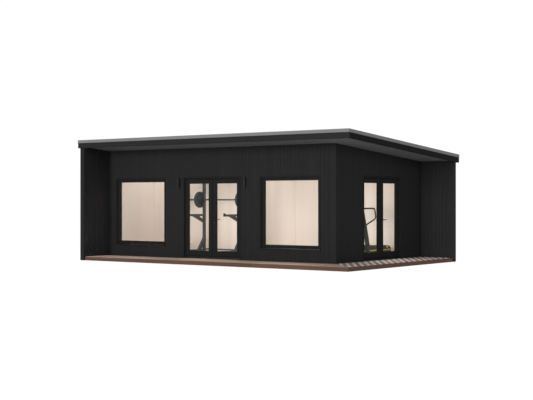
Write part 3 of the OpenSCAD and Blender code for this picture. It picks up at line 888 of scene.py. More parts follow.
m = Mesh()
ang = math.radians(34.8)
ux, uy = math.sin(ang), -math.cos(ang)
px, py = math.cos(ang), math.sin(ang)
pitch = 74.0
end_y = DB[1][1]
k = -80
while k < 120:
    c = k * pitch
    ox, oy = xr + px * c, yf + py * c
    a, b = 0, pitch - 5
    far = 9000
    poly = [(ox + px * a - ux * far, oy + py * a - uy * far), (ox + px * a + ux * far, oy + py * a + uy * far),
            (ox + px * b + ux * far, oy + py * b + uy * far), (ox + px * b - ux * far, oy + py * b - uy * far)]
    for cx_, cy_, nx_, ny_ in ((xr + 2, 0, -1, 0), (xo, 0, 1, 0), (0, end_y - 1, 0, 1), (xr + 3, yf, -nxm, -nym)):
        poly = clip(poly, cx_, cy_, nx_, ny_)
        if len(poly) < 3:
            break
    if len(poly) > 2:
        plank(m, poly, deck_z - 28, deck_z, 3.5, 0, (0.92 if k % 2 else 0.28) + rnd.uniform(-0.07, 0.07))
    k += 1
make("side_deck_planks", m, [M_DECK_SIDE], BODY)

m = Mesh()
cuts = [DF[0][0], DF[0][0] + 2600, DF[0][0] + 5200, deck_x]
for p, q in zip(cuts, cuts[1:]):
    cbox(m, (p + (1 if p > DF[0][0] else 0), deck_y, 0), (q - (1 if q < deck_x else 0), deck_y + 24.5, DF[1][2]), 3, 0,
         rnd.uniform(0.3, 0.7))
cuts = [deck_y + 26, -217.5, DF[1][1]]
for p, q in zip(cuts, cuts[1:]):
    cbox(m, (deck_x - 25, p + 0.8, 0), (deck_x, q - 0.8, DF[1][2]), 3, 0, rnd.uniform(0.3, 0.7))
make("deck_edge_planks", m, [M_DECK_FASCIA], BODY, ("deck_fascia",))

# ---------------------------------------------------------------- windows
m, mt_, gl = Mesh(), Mesh(), Mesh()
WG = box_mm("window_glass")
g0, g1 = WG[0][1] - frame_y, WG[1][1] - frame_y
fd = WF[1][1] - WF[0][1]
for cx in win_x:
    rect = (cx - win_w / 2, cx + win_w / 2, win_z0, win_z1)

    def wp(u, d, z):
        return u, frame_y + d, z

    ring(m, rect, [(0.3, 0), (37, 0), (40, 3), (40, fd - 2), (38, fd), (0.3, fd)], wp, 0, 0.5)
    ring(m, rect, [(40.2, 5), (50, 5), (62, 12), (62, g0 - 3), (40.2, g0 - 3)], wp, 1, 0.5)
    ring(m, rect, [(40.2, g1 + 3), (62, g1 + 3), (62, g1 + 9), (52, g1 + 16), (40.2, g1 + 16)], wp, 1, 0.5)
    ring(m, rect, [(52, g0 - 4), (65, g0 - 4), (66, g0 - 2), (66, g0), (52, g0)], wp, 2, 0.5)
    ring(m, rect, [(52, g1), (66, g1), (66, g1 + 2), (65, g1 + 4), (52, g1 + 4)], wp, 2, 0.5)
    ring(gl, rect, [(58, g0 + 4.2), (71, g0 + 4.2), (71, g1 - 4.2), (58, g1 - 4.2)], wp, 1, 0.5)
    for d in (g0, g1 - 4):
        cbox(gl, (rect[0] + 54, frame_y + d, rect[2] + 54), (rect[1] - 54, frame_y + d + 4, rect[3] - 54), 0.6, 0)
    # casing: head and side boards, return into the opening, sill with a drip
    o = win_w / 2 + 35
    cbox(mt_, (cx - o, yf - 8, win_z1), (cx + o, yf + 3, win_z1 + 35), 2, 0, 0.5)
    for s in (-1, 1):
        cbox(mt_, (cx + s * o, yf - 8, win_z0), (cx + s * win_w / 2, yf + 3, win_z1 - 0.5), 2, 0, 0.5)
    ring(mt_, rect, [(0, -7), (3.5, -7), (4, -6), (4, frame_y - yf - 0.4), (0, frame_y - yf - 0.4)], on_front, 0, 0.5)
    prism(mt_, [(-45, win_z0 - 28), (-45, win_z0 - 15), (-43, win_z0 - 13), (0.5, win_z0 - 0.5), (0.5, win_z0 - 30),
                (-31, win_z0 - 30), (-32, win_z0 - 26), (-36, win_z0 - 26), (-37, win_z0 - 30), (-43, win_z0 - 30)],
          cx - o, cx + o, lambda p, q, t: (t, yf + p, q), 0, 1, 1, 0.6)
make("window_frame_pair", m, [M_FRAME, M_BEAD, M_RUBBER], BODY, ("window_frames",))
make("window_casings", mt_, [M_FRAME, M_SILL], BODY, ("window_trims",))
make("window_panes", gl, [M_GLASS, M_SPACER], BODY, ("window_glass",))


# ---------------------------------------------------------------- doors
def door_set(tag, wall, opening, face, leaves, reveal):
    """One pair of doors. wall(u, d, z) places a point, d inwards from the frame's face."""
    u0, u1 = opening
    fd_ = 102.0
    m = Mesh()
    ring(m, (u0, u1, floor_z + 2, door_top),
         [(0.3, 0), (28, 0), (30, 2), (30, 60), (31, 61), (47, 61), (48, 62), (48, fd_ - 2), (46, fd_), (0.3, fd_)],
         wall, 0, 0.5, open_bottom=True)
    # seal in the rebate
    ring(m, (u0, u1, floor_z + 26, door_top), [(34, 57.5), (42, 57.5), (42, 61), (34, 61)], wall, 1, 0.5, open_bottom=True)
    prism(m, [(-18, floor_z), (-18, floor_z + 15), (-14, floor_z + 19), (-2, floor_z + 20), (3, floor_z + 25),
              (24, floor_z + 25), (26, floor_z + 22), (36, floor_z + 22), (38, floor_z + 25), (fd_, floor_z + 25),
              (fd_, floor_z)], u0 + 0.4, u1 - 0.4, lambda p, q, t: wall(t, p, q), 0, 1, 2, 0.5)
    # casing round the opening and its return
    o = 30.0
    rd = reveal
    cbox(m, (u0 - o, -rd - 8, door_top), (u1 + o, -rd + 3, door_top + o), 2, 0, 0.5, wall)
    for a, b in ((u0 - o, u0), (u1, u1 + o)):
        cbox(m, (a, -rd - 8, deck_z + 4), (b, -rd + 3, door_top - 0.5), 2, 0, 0.5, wall)
    ring(m, (u0, u1, deck_z + 4, door_top), [(0, -rd - 7), (3.5, -rd - 7), (4, -rd - 6), (4, -0.4), (0, -0.4)], wall, 0,
         0.5, open_bottom=True)
    for node, gnode, hnode, body, hinge_u, s in leaves:
        lo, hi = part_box(gnode)
        z0, z1 = lo.z * 1000 - 150, hi.z * 1000 + 96
        along = 0 if abs(hi.x - lo.x) > abs(hi.y - lo.y) else 1
        w = (hi[along] - lo[along]) * 1000 + 78 + 114

        def lp(x, d, z, hinge_u=hinge_u, s=s):
            return wall(hinge_u + s * x, d, z)

        lm = Mesh()
        h0, h1, h2, h3 = 78, w - 114, z0 + 150, z1 - 96  # glass opening
        e = 10
        cbox(lm, (0, 0, z0), (h0 - e, 56, z1), 2.5, 0, 0.45, lp)
        cbox(lm, (h1 + e, 0, z0), (w, 56, z1), 2.5, 0, 0.5, lp)
        cbox(lm, (h0 - e + 0.15, 0, z0), (h1 + e - 0.15, 56, h2 - e), 2.5, 0, 0.55, lp)
        cbox(lm, (h0 - e + 0.15, 0, h3 + e), (h1 + e - 0.15, 56, z1), 2.5, 0, 0.55, lp)
        rect = (h0 - e, h1 + e, h2 - e, h3 + e)
        ring(lm, rect, [(0.2, 3), (5, 3), (e, 7), (e, 11), (0.2, 11)], lp, 1, 0.5)
        ring(lm, rect, [(0.2, 55), (4, 55), (e, 49), (e, 37.7), (0.2, 37.7)], lp, 1, 0.5)
        ring(lm, rect, [(4, 10.5), (e + 3, 10.5), (e + 4, 11.8), (e + 4, 14), (4, 14)], lp, 2, 0.5)
        ring(lm, rect, [(4, 36), (e + 4, 36), (e + 4, 37.5), (4, 37.5)], lp, 2, 0.5)
        # edge seal where the two leaves meet, drip bar at the foot
        cbox(lm, (w - 1, 12, z0 + 8), (w + 3.6, 20, z1 - 4), 1, 2, 0.5, lp)
        prism(lm, [(1, z0 + 44), (-13, z0 + 30), (-16, z0 + 24), (-13, z0 + 22), (1, z0 + 22)], 14, w - 14,
              lambda p, q, t: lp(t, p, q), 0.8, 1, 0, 0.5)
        make(node + "_timber", lm, [M_FRAME, M_BEAD, M_RUBBER], body, (node,))
        g = Mesh()
        for d in (14, 32):
            cbox(g, (h0 - 5, d, h2 - 5), (h1 + 5, d + 4, h3 + 5), 0.6, 0, 0.5, lp)
        ring(g, (h0 - 5, h1 + 5, h2 - 5, h3 + 5), [(0, 18.2), (11, 18.2), (11, 31.8), (0, 31.8)], lp, 1, 0.5)
        make(gnode + "_pane", g, [M_GLASS, M_SPACER], body, (gnode,))
        # hinges: the lower half and the pin stay with the frame
        up_, dn = Mesh(), Mesh()
        for zc in (300, 1070, 1840):
            def hp(a, b, h, zc=zc):
                return lp(-2.5 + a, -9 + b, zc + h)
            lathe(dn, [(0, -50), (5, -50), (7.4, -47.5), (8, -46), (8, -2), (7.4, -1), (4, -1), (4, 44), (0, 44)], hp, 24, 0)
            lathe(up_, [(4.3, 0), (7.4, 0), (8, 1), (8, 45), (7.2, 47.6), (5, 49), (0, 49), (0, 46.3), (4.3, 46.3)], hp, 24, 0,
                  0.5, True)
            cbox(dn, (-28.5, -4, zc - 48), (-3, 0, zc - 3), 1.2, 0, 0.5, lp)
            cbox(dn, (-6, -8, zc - 46), (-2.5, 0, zc - 4), 0.8, 0, 0.5, lp)
            cbox(up_, (0, -4, zc + 3), (25.5, 0, zc + 47), 1.2, 0, 0.5, lp)
            cbox(up_, (-2.5, -8, zc + 4), (2.5, -0.3, zc + 46), 0.8, 0, 0.5, lp)
            for zz in (-38, -13):
                lathe(dn, [(0, -5.2), (1.4, -5.2), (1.6, -4.6), (4.2, -4.6), (4.8, -3.8), (4.8, -3.2), (0, -3.2)],
                      lambda a, b, h, zz=zz, zc=zc: lp(-18 + a, h, zc + zz + b), 16, 0)
            for zz in (13, 37):
                lathe(up_, [(0, -5.2), (1.4, -5.2), (1.6, -4.6), (4.2, -4.6), (4.8, -3.8), (4.8, -3.2), (0, -3.2)],
                      lambda a, b, h, zz=zz, zc=zc: lp(15 + a, h, zc + zz + b), 16, 0)
        make(body + "_hinge_knuckles", up_, [M_HINGE], body)
        make(body + "_hinge_seats", dn, [M_HINGE], BODY)
        if hnode:
            h = Mesh()
            hx, hz = w - 57, 1045.0
            for side in (0, 1):
                def sp(a, d, z, side=side):
                    """d is the distance out of the leaf's face"""
                    return lp(hx + a, 56 + d if side else -d, hz + z)
                prism(h, rrect(-16, -110, 16, 110, 7), 0, 8.8, lambda p, q, t: sp(p, t, q), 1.2, 2, 0, 0.5)
                lathe(h, [(16, 8), (16, 11), (14.5, 13), (11.5, 13.5), (11, 16), (11, 43), (0, 43)],
                      lambda a, b, t: sp(a, t, b), 28, 0)
                path = fillet([(0, 40, 0), (0, 51, 0), (-90, 51, 0)], 10, 6)
                tube(h, [sp(*p) for p in path], 7, 20, 0, 0.5, flat=(8.6, 6.8))
                tube(h, [sp(x, 51, 0) for x in (10.5, 8, 0, -6)], 8, 20, 0, 0.5, flat=(8.8, 6.9))
                tube(h, [sp(x, 51, 0) for x in (-86, -92, -95.5)], 8, 20, 0, 0.5, flat=(8.9, 6.9))
                # key cylinder
                lathe(h, [(8.5, 8), (8.5, 11.5), (7.8, 12.3), (0, 12.3)], lambda a, b, t: sp(a, t, b - 66), 24, 1)
                cbox(h, (-5, 8, -92), (5, 11.5, -66), 1.5, 1, 0.5, sp)
                # the keyway: a thin black strip on the cylinder's face, painted shade for the slot
                cbox(h, (-0.9, 12.1, -71), (0.9, 12.6, -61), 0.1, 2, 0.5, sp)
                for zz in (-101, 101):
                    lathe(h, [(4, 8.4), (4, 9.0), (3.2, 9.6), (1.6, 9.6), (1.4, 9.0), (0, 9.0)],
                          lambda a, b, t, zz=zz: sp(a, t, b + zz), 16, 1)
            make(hnode + "_set", h, [M_HANDLE, M_STEEL, M_RUBBER], body, (hnode,))
    return m


def front_doors(u, d, z):
    return u, frame_y + d, z


def side_doors(u, d, z):
    return frame_x - d, u, z


reveal = frame_y - yf
m = door_set(
    "front", front_doors, (dx0, dx1), frame_y,
    [("front_door_left_leaf", "front_door_left_glass", None, "front_left_leaf",
      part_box("front_door_left_glass")[0].x * 1000 - 78, 1),
     ("front_door_right_leaf", "front_door_right_glass", "front_door_handle", "front_right_leaf",
      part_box("front_door_right_glass")[1].x * 1000 + 78, -1)], reveal)
make("front_door_lining", m, [M_FRAME, M_RUBBER, M_SILL], BODY, ("front_door_frame",))
m = door_set(
    "side", side_doors, (sy0, sy1), frame_x,
    [("side_door_front_leaf", "side_door_front_glass", None, "side_front_leaf",
      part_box("side_door_front_glass")[0].y * 1000 - 78, 1),
     ("side_door_rear_leaf", "side_door_rear_glass", "side_door_handle", "side_rear_leaf",
      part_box("side_door_rear_glass")[1].y * 1000 + 78, -1)], reveal)
make("side_door_lining", m, [M_FRAME, M_RUBBER, M_SILL], BODY, ("side_door_frame",))

# ---------------------------------------------------------------- wall lights
WL = box_mm("wall_lights")
m = Mesh()
for cx in (WL[0][0] + 29, WL[1][0] - 29):
    z0, z1 = WL[0][2], WL[1][2]
    yc = (WL[0][1] + (yf - 14)) / 2
    hd = ((yf - 14) - WL[0][1]) / 2
    outer = rrect(-29, -hd, 29, hd, 9, 6)
    inner = rrect(-25.5, -hd + 3.5, 25.5, hd - 3.5, 6, 6)
    n = len(outer)
    rows = [(inner, z0 + 16), (inner, z0 + 1.5), (outer, z0), (outer, z0 + 1), (outer, z1 - 1), (outer, z1),
            (inner, z1 - 1.5), (inner, z1 - 16)]
    rows[1] = (rrect(-26, -hd + 3, 26, hd - 3, 6, 6), z0)
    rows[6] = (rrect(-26, -hd + 3, 26, hd - 3, 6, 6), z1)
    rows = [(inner, z0 + 16), (inner, z0 + 0.8), (rows[1][0], z0), (rrect(-28, -hd + 1, 28, hd - 1, 8, 6), z0),
            (outer, z0 + 1.2), (outer, z1 - 1.2), (rrect(-28, -hd + 1, 28, hd - 1, 8, 6), z1), (rows[6][0], z1),
            (inner, z1 - 0.8), (inner, z1 - 16)]
    verts = [(cx + p, yc + q, z) for ps, z in rows for p, q in ps]
    faces = [list(range(n)), list(range((len(rows) - 1) * n, len(rows) * n))]
    for r in range(len(rows) - 1):
        for i in range(n):
            j = (i + 1) % n
            faces.append([r * n + i, r * n + j, (r + 1) * n + j, (r + 1) * n + i])
    m.add(verts, faces, 0, 0.5)
    for z, s in ((z0 + 15, -1), (z1 - 15, 1)):  # lenses in their reflectors
        lathe(m, [(0, 0), (17, 0), (18.5, 1.2), (18.5, 3), (16, 5.5), (8, 7.6), (0, 8.2)],
              lambda a, b, h, z=z, s=s: (cx + a, yc + b, z + s * h), 32, 1)
        lathe(m, [(18.6, 0), (21.5, 0), (21.5, 3), (20.8, 4), (18.6, 4)],
              lambda a, b, h, z=z, s=s: (cx + a, yc + b, z + s * h), 32, 0, 0.5, True)
    prism(m, rrect(-22, 1860, 22, 1987, 6, 4), yf - 14.5, yf + 2, lambda p, q, t: (cx + p, t, q), 1, 1, 0, 0.5)
    for zz in (1878, 1969):
        lathe(m, [(0, 0), (3.2, 0), (3.2, 2.4), (2, 3.2), (0, 3.2)],
              lambda a, b, h, zz=zz: (cx + 22 + h - 0.4, yf - 7 + a, zz + b), 14, 0)
make("wall_light_pair", m, [M_LAMP, M_LENS], BODY, ("wall_lights",))

# ---------------------------------------------------------------- weight rack
KX, KY = -28.5, -37.5  # the gym equipment is drawn round its own origin


def kit_box(node):
    lo, hi = box_mm(node)
    return [lo[0] - KX, lo[1] - KY, lo[2]], [hi[0] - KX, hi[1] - KY, hi[2]]


def moved(m):
    m.v = [(x + KX, y + KY, z) for x, y, z in m.v]
    return m


RS = kit_box("rack_sides")
BR = kit_box("weight_bar")
PL = kit_box("weight_plates")
bar_z = (BR[0][2] + BR[1][2]) / 2
bar_y = (BR[0][1] + BR[1][1]) / 2
ub = RS[1][1]
uf = ub - 70
top = RS[1][2]


def hole_strip(m, place, w, z0, z1, pitch, r, mat=0):
    """A flat face w wide between z0 and z1 with a row of real holes, each closed 6 mm in by a darker disc: painted
    shade for the hollow tube behind. place(a, d, z).
    """
    n = 16
    k = int((z1 - z0) // pitch)
    pad = (z1 - z0 - k * pitch) / 2
    zz = z0 + pad
    m.add([place(-w / 2, 0, z0), place(w / 2, 0, z0), place(w / 2, 0, zz), place(-w / 2, 0, zz)], [[0, 1, 2, 3]], mat)
    for i in range(k):
        c = zz + pitch / 2
        circ = [(r * math.cos(2 * math.pi * (j + 0.5) / n), r * math.sin(2 * math.pi * (j + 0.5) / n)) for j in range(n)]
        out = []
        for j in range(n):
            a, b = circ[j]
            s = max(abs(a) / (w / 2), abs(b) / (pitch / 2))
            out.append((a / s, b / s))
        crn = [(w / 2, pitch / 2), (-w / 2, pitch / 2), (-w / 2, -pitch / 2), (w / 2, -pitch / 2)]
        verts = [place(a, 0, c + b) for a, b in circ] + [place(a, 0, c + b) for a, b in out] + \
                [place(a, 6, c + b) for a, b in circ] + [place(a, 0, c + b) for a, b in crn]
        faces = []
        for j in range(n):
            l = (j + 1) % n
            f = [j, l, n + l, n + j]
            q = int(((j + 0.999) % n) // (n / 4))
            a, b = out[j], out[l]
            if abs(abs(a[0]) - w / 2) < 1e-6 and abs(abs(b[1]) - pitch / 2) < 1e-6 and abs(abs(a[1]) - pitch / 2) > 1e-6 or \
               abs(abs(a[1]) - pitch / 2) < 1e-6 and abs(abs(b[0]) - w / 2) < 1e-6 and abs(abs(b[1]) - pitch / 2) > 1e-6:
                for t, (x, y) in enumerate(crn):
                    if x * (a[0] + b[0]) > 0 and y * (a[1] + b[1]) > 0:
                        f = [j, l, n + l, 3 * n + t, n + j]
            faces.append(f)
            faces.append([j, l, 2 * n + l, 2 * n + j])
        m.add(verts, faces, mat)
        # darker disc at the bottom of the bore: painted shade for the dim inside of the tube
        m.add([place(a, 6, c + b) for a, b in circ], [list(range(n))], 1)
        zz += pitch
    m.add([place(-w / 2, 0, zz), place(w / 2, 0, zz), place(w / 2, 0, z1), place(-w / 2, 0, z1)], [[0, 1, 2, 3]], mat)


def upright_post(m, xc, y0, y1, z0, z1, c=5.0):
    """A square tube with rounded corners and rows of holes in all four faces."""
    hw, hy, yc = 35.0, (y1 - y0) / 2, (y0 + y1) / 2
    w = 2 * (hw - c)
    for s in (-1, 1):
        hole_strip(m, lambda a, d, z, s=s: (xc + a, yc + s * (hy - d), z), w, z0, z1, 50, 8)
        hole_strip(m, lambda a, d, z, s=s: (xc + s * (hw - d), yc + a, z), 2 * (hy - c), z0, z1, 50, 8)
    for sx in (-1, 1):
        for sy in (-1, 1):
            pts = []
            for i in range(5):
                g = math.pi / 2 * i / 4
                pts.append((xc + sx * (hw - c + c * math.sin(g)), yc + sy * (hy - c + c * math.cos(g))))
            v = [(x, y, z0) for x, y in pts] + [(x, y, z1) for x, y in pts]
            m.add(v, [[i, i + 1, 6 + i, 5 + i] for i in range(4)], 0)
    # closing plates inside the two ends
    for z, t in ((z0 + 0.5, 1), (z1 - 3, 3)):
        prism(m, rrect(xc - hw + 0.6, yc - hy + 0.6, xc + hw - 0.6, yc + hy - 0.6, c, 4), z, z + t, same, 0, 1, 1)


m = Mesh()
for xc in (RS[0][0] + 35, RS[1][0] - 35):
    upright_post(m, xc, uf, ub, floor_z + 8, top)
    # floor plate, foot, brace
    side = lambda p, q, t: (t, p, q)
    cbox(m, (xc - 35, uf, floor_z), (xc + 35, ub, floor_z + 8), 1.5, 0)
    prism(m, rrect(xc - 34, floor_z + 3, xc + 34, floor_z + 55.5, 6, 4), RS[0][1] + 6, uf - 0.3,
          lambda p, q, t: (p, t, q), 0.8, 1, 0)
    prism(m, rrect(xc - 35, floor_z + 2, xc + 35, floor_z + 56, 7, 4), RS[0][1], RS[0][1] + 34,
          lambda p, q, t: (p, t, q), 2, 2, 1)
    for yy in (1080, 1300, uf - 60):
        cbox(m, (xc - 35, yy - 40, floor_z), (xc + 35, yy + 40, floor_z + 5), 2, 1)
    prism(m, [(uf - 0.3, 478), (uf - 0.3, 330), (1592, 156), (1479, 156)], xc - 33, xc + 33, side, 2, 1, 0)
    for s in (-1, 1):
        for yy, zz in ((uf - 24, 386), (1559, 190)):
            lathe(m, [(0, 0), (7.5, 0), (9, 1.5), (9, 4), (0, 4)],
                  lambda a, b, h, yy=yy, zz=zz, s=s: (xc + s * (36.4 - h * 0.9), yy + a, zz + b), 6, 1)
    # spotter arm and its brace
    prism(m, rrect(xc - 28, 1068.5, xc + 28, 1126, 5, 4), 1040, uf - 0.4, lambda p, q, t: (p, t, q), 0.6, 1, 0)
    prism(m, [(1058, 1068), (1058, 1127), (1055, 1156), (1034, 1157), (1030, 1150), (1030, 1076), (1038, 1068)],
          xc - 28, xc + 28, side, 3, 2, 1)
    cbox(m, (xc - 22, 1056, 1124), (xc + 22, uf - 30, 1128), 1.5, 1)
    prism(m, [(1252, 1068.2), (1501, 1068.2), (uf - 0.4, 961), (uf - 0.4, 883)], xc - 27, xc + 27, side, 2, 1, 0)
    for s in (-1, 1):
        for yy, zz in ((uf - 26, 930), (1400, 1052)):
            lathe(m, [(0, 0), (8, 0), (10, 1.6), (10, 4), (0, 4)],
                  lambda a, b, h, s=s, yy=yy, zz=zz: (xc + s * (30.6 - h), yy + a, zz + b), 6, 1)
    # hook for the bar
    prism(m, [(uf + 2, bar_z - 66), (uf + 2, bar_z - 22), (1620, bar_z - 22), (1617, bar_z + 17), (1606, bar_z + 19),
              (1604, bar_z - 36), (1616, bar_z - 50)], xc - 7, xc + 7, side, 1.5, 2, 0)
    prism(m, [(uf - 4, bar_z - 28), (uf - 4, bar_z - 21.5), (1618, bar_z - 21.5), (1618, bar_z - 28)],
          xc - 24, xc + 24, side, 1.2, 1, 1)
    prism(m, [(1605, bar_z - 28), (1605, bar_z + 20), (1617.6, bar_z + 18), (1617.6, bar_z - 28)],
          xc - 24, xc + 24, side, 1.2, 1, 1)
    cbox(m, (xc - 30, uf - 5, bar_z - 58), (xc + 30, uf - 0.2, bar_z + 58), 1.5, 1)
    cbox(m, (xc - 36, uf - 5, bar_z + 4), (xc - 35.1, uf + 40, bar_z + 54), 0.4, 1)
make("rack_uprights", moved(m), [M_RACK, M_RACKDARK], BODY, ("rack_sides",))

m = Mesh()
XB = kit_box("rack_crossbars")
for z0, zh in ((XB[0][2], 35), (XB[1][2] - 60, 60)):
    prism(m, rrect(uf + 6, z0 + 1, ub - 6, z0 + zh - 1, 6, 5), XB[0][0] + 4, XB[1][0] - 4, lambda p, q, t: (t, p, q), 0, 1, 0)
    for x, s in ((XB[0][0], 1), (XB[1][0], -1)):
        cbox(m, (x, uf + 5, z0), (x + s * 6, ub - 5, z0 + zh), 1.5, 0)
        for yy, zz in ((uf + 14, z0 + 8), (ub - 14, z0 + 8), (uf + 14, z0 + zh - 8), (ub - 14, z0 + zh - 8)):
            lathe(m, [(0, 11), (3.8, 11), (4.4, 10.4), (4.4, 6), (0, 6)],
                  lambda a, b, h, yy=yy, zz=zz, x=x, s=s: (x + s * h, yy + a, zz + b), 6, 1)
make("rack_cross_members", moved(m), [M_RACK, M_RACKDARK], BODY, ("rack_crossbars",))

m = Mesh()


def along_bar(a, b, h):
    return h, bar_y + a, bar_z + b


x0, x1 = BR[0][0], BR[1][0]
lathe(m, [(20.9, x0 + 371), (20.9, x1 - 454)], along_bar, 32, 0)
for s in (-1, 1):  # sleeves, their shoulders and end caps
    e = x0 if s < 0 else x1
    f = lambda a, b, h, e=e, s=s: (e - s * h, bar_y + a, bar_z + b)
    n = 372 if s < 0 else 455
    pr = [(0, 1.5), (9, 1.5), (10, 0), (22, 0), (24.6, 2.5), (24.6, n - 20), (25, n - 19), (25, n - 2), (23.5, n - 0.5),
          (0, n - 0.5)]
    lathe(m, pr, f, 36, 0)
    for k in range(5):
        lathe(m, [(24.4, 30 + 66 * k), (24.95, 30.6 + 66 * k), (24.95, 32.4 + 66 * k), (24.4, 33 + 66 * k)], f, 36, 0, 0.5, True)
    px = PL[0][0] if s < 0 else PL[1][0]
    # spring clip outside the plate
    for k in range(4):
        lathe(m, [(24.8 + 2.6 * math.cos(g) + 2.6, 2.6 * math.sin(g)) for g in [2 * math.pi * i / 8 for i in range(8)]],
              lambda a, b, h, k=k, px=px, s=s: (px + s * (6 + 5.4 * k) + h, bar_y + a, bar_z + b), 28, 1, 0.5, True)
    tube(m, [(px + s * 6, bar_y + 20, bar_z + 22), (px + s * 7, bar_y + 38, bar_z + 40)], 2.6, 10, 1)
    tube(m, [(px + s * 22, bar_y - 20, bar_z + 22), (px + s * 22, bar_y - 34, bar_z + 42)], 2.6, 10, 1)
for a, b in ((-3110, -2880), (-2580, -2350), (-2805, -2655)):  # knurled bands, cut as fine ridges
    n = int((b - a) / 6)
    pr = []
    for i in range(n):
        pr += [(20.95, a + 6 * i), (21.4, a + 6 * i + 3)]
    lathe(m, pr, along_bar, 24, 0)
make("weight_bar_steel", moved(m), [M_BAR, M_RACKDARK], BODY, ("weight_bar",))

m = Mesh()
t = 55.0
for a in (PL[0][0], PL[1][0] - t):
    def pp(p, q, h, a=a):
        return a + h, bar_y + p, bar_z + q
    prof = [(25.6, 3), (27, 1.5), (52, 0.8), (56, 3), (58, 12), (62, 14), (150, 14), (158, 12), (166, 3), (172, 0),
            (214, 0), (221, 2.5), (224.6, 8), (225, 14), (225, t - 14), (224.6, t - 8), (221, t - 2.5), (214, t), (172, t),
            (166, t - 3), (158, t - 12), (150, t - 14), (62, t - 14), (58, t - 12), (56, t - 3), (52, t - 0.8),
            (27, t - 1.5), (25.6, t - 3)]
    lathe(m, prof, pp, 96, 0, 0.5, True)
    for r0, r1 in ((25.7, 33),):
        lathe(m, [(r0, 0.3), (r1, 0.3), (r1, t - 0.3), (r0, t - 0.3)], pp, 48, 1, 0.5, True)
    for k in range(3):  # raised ribs across the web
        g = 2 * math.pi * k / 3 + 0.5
        for h0, h1 in ((6, 16), (t - 16, t - 6)):
            c, s = math.cos(g), math.sin(g)
            prism(m, rrect(60, -17, 160, 17, 8, 4), h0, h1,
                  lambda p, q, h, c=c, s=s, a=a: (a + h, bar_y + p * c - q * s, bar_z + p * s + q * c), 2, 1, 0)
make("weight_plate_pair", moved(m), [M_PLATE, M_STEEL], BODY, ("weight_plates",))

# ---------------------------------------------------------------- treadmill
TD, TF, TC = kit_box("treadmill_deck"), kit_box("treadmill_frame"), kit_box("treadmill_console")
m = Mesh()
tx0, tx1 = TD[0][0], TD[1][0]
ty0, ty1 = TD[0][1], TD[1][1]


def side_of(p, q, t):
    return t, p, q


# motor hood, as a smooth sloping cover over a base
hood = [(ty0, 205), (ty0 + 2, 285), (ty0 + 26, 335), (ty0 + 70, 372), (ty0 + 130, 396), (ty0 + 220, 418), (ty0 + 360, 432),
        (ty0 + 500, 439), (ty0 + 518, 434), (ty0 + 518, 205)]
prism(m, hood, tx0 + 3, tx1, side_of, 10, 3, 0, 0.6)
prism(m, [(ty0 + 6, 132), (ty0 + 3, 203), (ty0 + 518, 203), (ty0 + 518, 132)], tx0 + 8, tx1 - 5, side_of, 4, 2, 1, 0.4)
for k in range(6):  # cooling slots' blades
    cbox(m, (1790 + k * 70, ty0 + 12, 300), (1838 + k * 70, ty0 + 16.4, 322), 1.2, 1, 0.5)
# running deck: side rails, belt over its bed, rollers and end caps
bx0, bx1 = 1715.0, tx1 - 75
for x0, x1 in ((1642.0, bx0 - 1), (bx1 + 1, tx1 - 2)):
    prism(m, [(717, 206), (717, 413), (1080, 406), (1950, 384), (2009, 373), (2058, 336), (2078, 280), (2073, 206)], x0, x1, side_of, 7, 3, 0,
          0.55)
    prism(m, [(717, 134), (717, 203), (2072, 203), (2048, 152), (2020, 134)], x0 + 4, x1 - 4, side_of, 4, 2, 1, 0.4)
    # ribbed foot rails on top
    for k in range(5):
        xx = x0 + 12 + (x1 - x0 - 24) * k / 4
        prism(m, [(760, 410.5), (760, 413.9), (1080, 407.4), (1900, 386.6), (1900, 383.5), (1080, 404)], xx - 3, xx + 3, side_of, 0.5, 1, 1, 0.5)
belt = [(719, 404), (1080, 398), (1950, 376), (1995, 371), (2030, 350), (2044, 312), (2034, 272), (2000, 246), (1950, 238),
        (719, 262), (719, 268), (1950, 244), (1996, 252), (2028, 276), (2038, 312), (2025, 347), (1992, 365), (1950, 370),
        (1080, 392), (719, 398)]
prism(m, belt, bx0 + 2, bx1 - 2, side_of, 0, 1, 2, 0.5)
prism(m, [(719, 272), (719, 396), (1080, 390), (1940, 368), (1940, 250)], bx0 + 6, bx1 - 6, side_of, 3, 1, 1, 0.5)
lathe(m, [(0, bx0 - 3), (8, bx0 - 3), (8, bx0 + 4), (54, bx0 + 5), (56, bx0 + 8), (56, bx1 - 8), (54, bx1 - 5), (8, bx1 - 4),
          (8, bx1 + 3), (0, bx1 + 3)], lambda a, b, h: (h, 1974 + a, 307 + b), 40, 3)
# yellow stripes low on the sides and the round rear end caps
for xs_, s in ((tx0 + 40.8, -1), (tx1 - 2.6, 1)):
    prism(m, [(741, 266), (725, 294), (2045, 294), (2036, 266)], xs_, xs_ + s * 3, side_of, 1, 1, 4, 0.5)
    oval = lambda a, b, h, xs_=xs_, s=s: (xs_ + s * (h - 1.6), 1888 + 0.9 * a, 349 + 0.48 * b)
    lathe(m, [(0, 0), (40, 0), (52, 0), (54, 1), (54, 3), (44, 5), (36, 5.6), (34, 3.4), (0, 3.4)], oval, 48, 4)
    lathe(m, [(0, 3.4), (30, 3.4), (31, 4), (31, 5.2), (28, 5.8), (0, 6.0)], oval, 40, 4)
prism(m, [(ty0 + 240, 250), (ty0 + 226, 268), (ty0 + 490, 276), (ty0 + 490, 250)], tx1 - 3, tx1 - 0.5, side_of, 0.8, 1, 4, 0.5)
# feet
for x in (1690, 2290):
    for y in (260, 1960):
        lathe(m, [(0, floor_z), (26, floor_z), (29, floor_z + 3), (29, floor_z + 12), (24, floor_z + 17), (12, floor_z + 20),
                  (12, 136), (0, 136)], lambda a, b, h, x=x, y=y: (x + 30 + a, y + 30 + b, h), 28, 1)
make("treadmill_base", moved(m), [M_BODY, M_RACKDARK, M_BELT, M_BAR, M_YELLOW], BODY, ("treadmill_deck",))

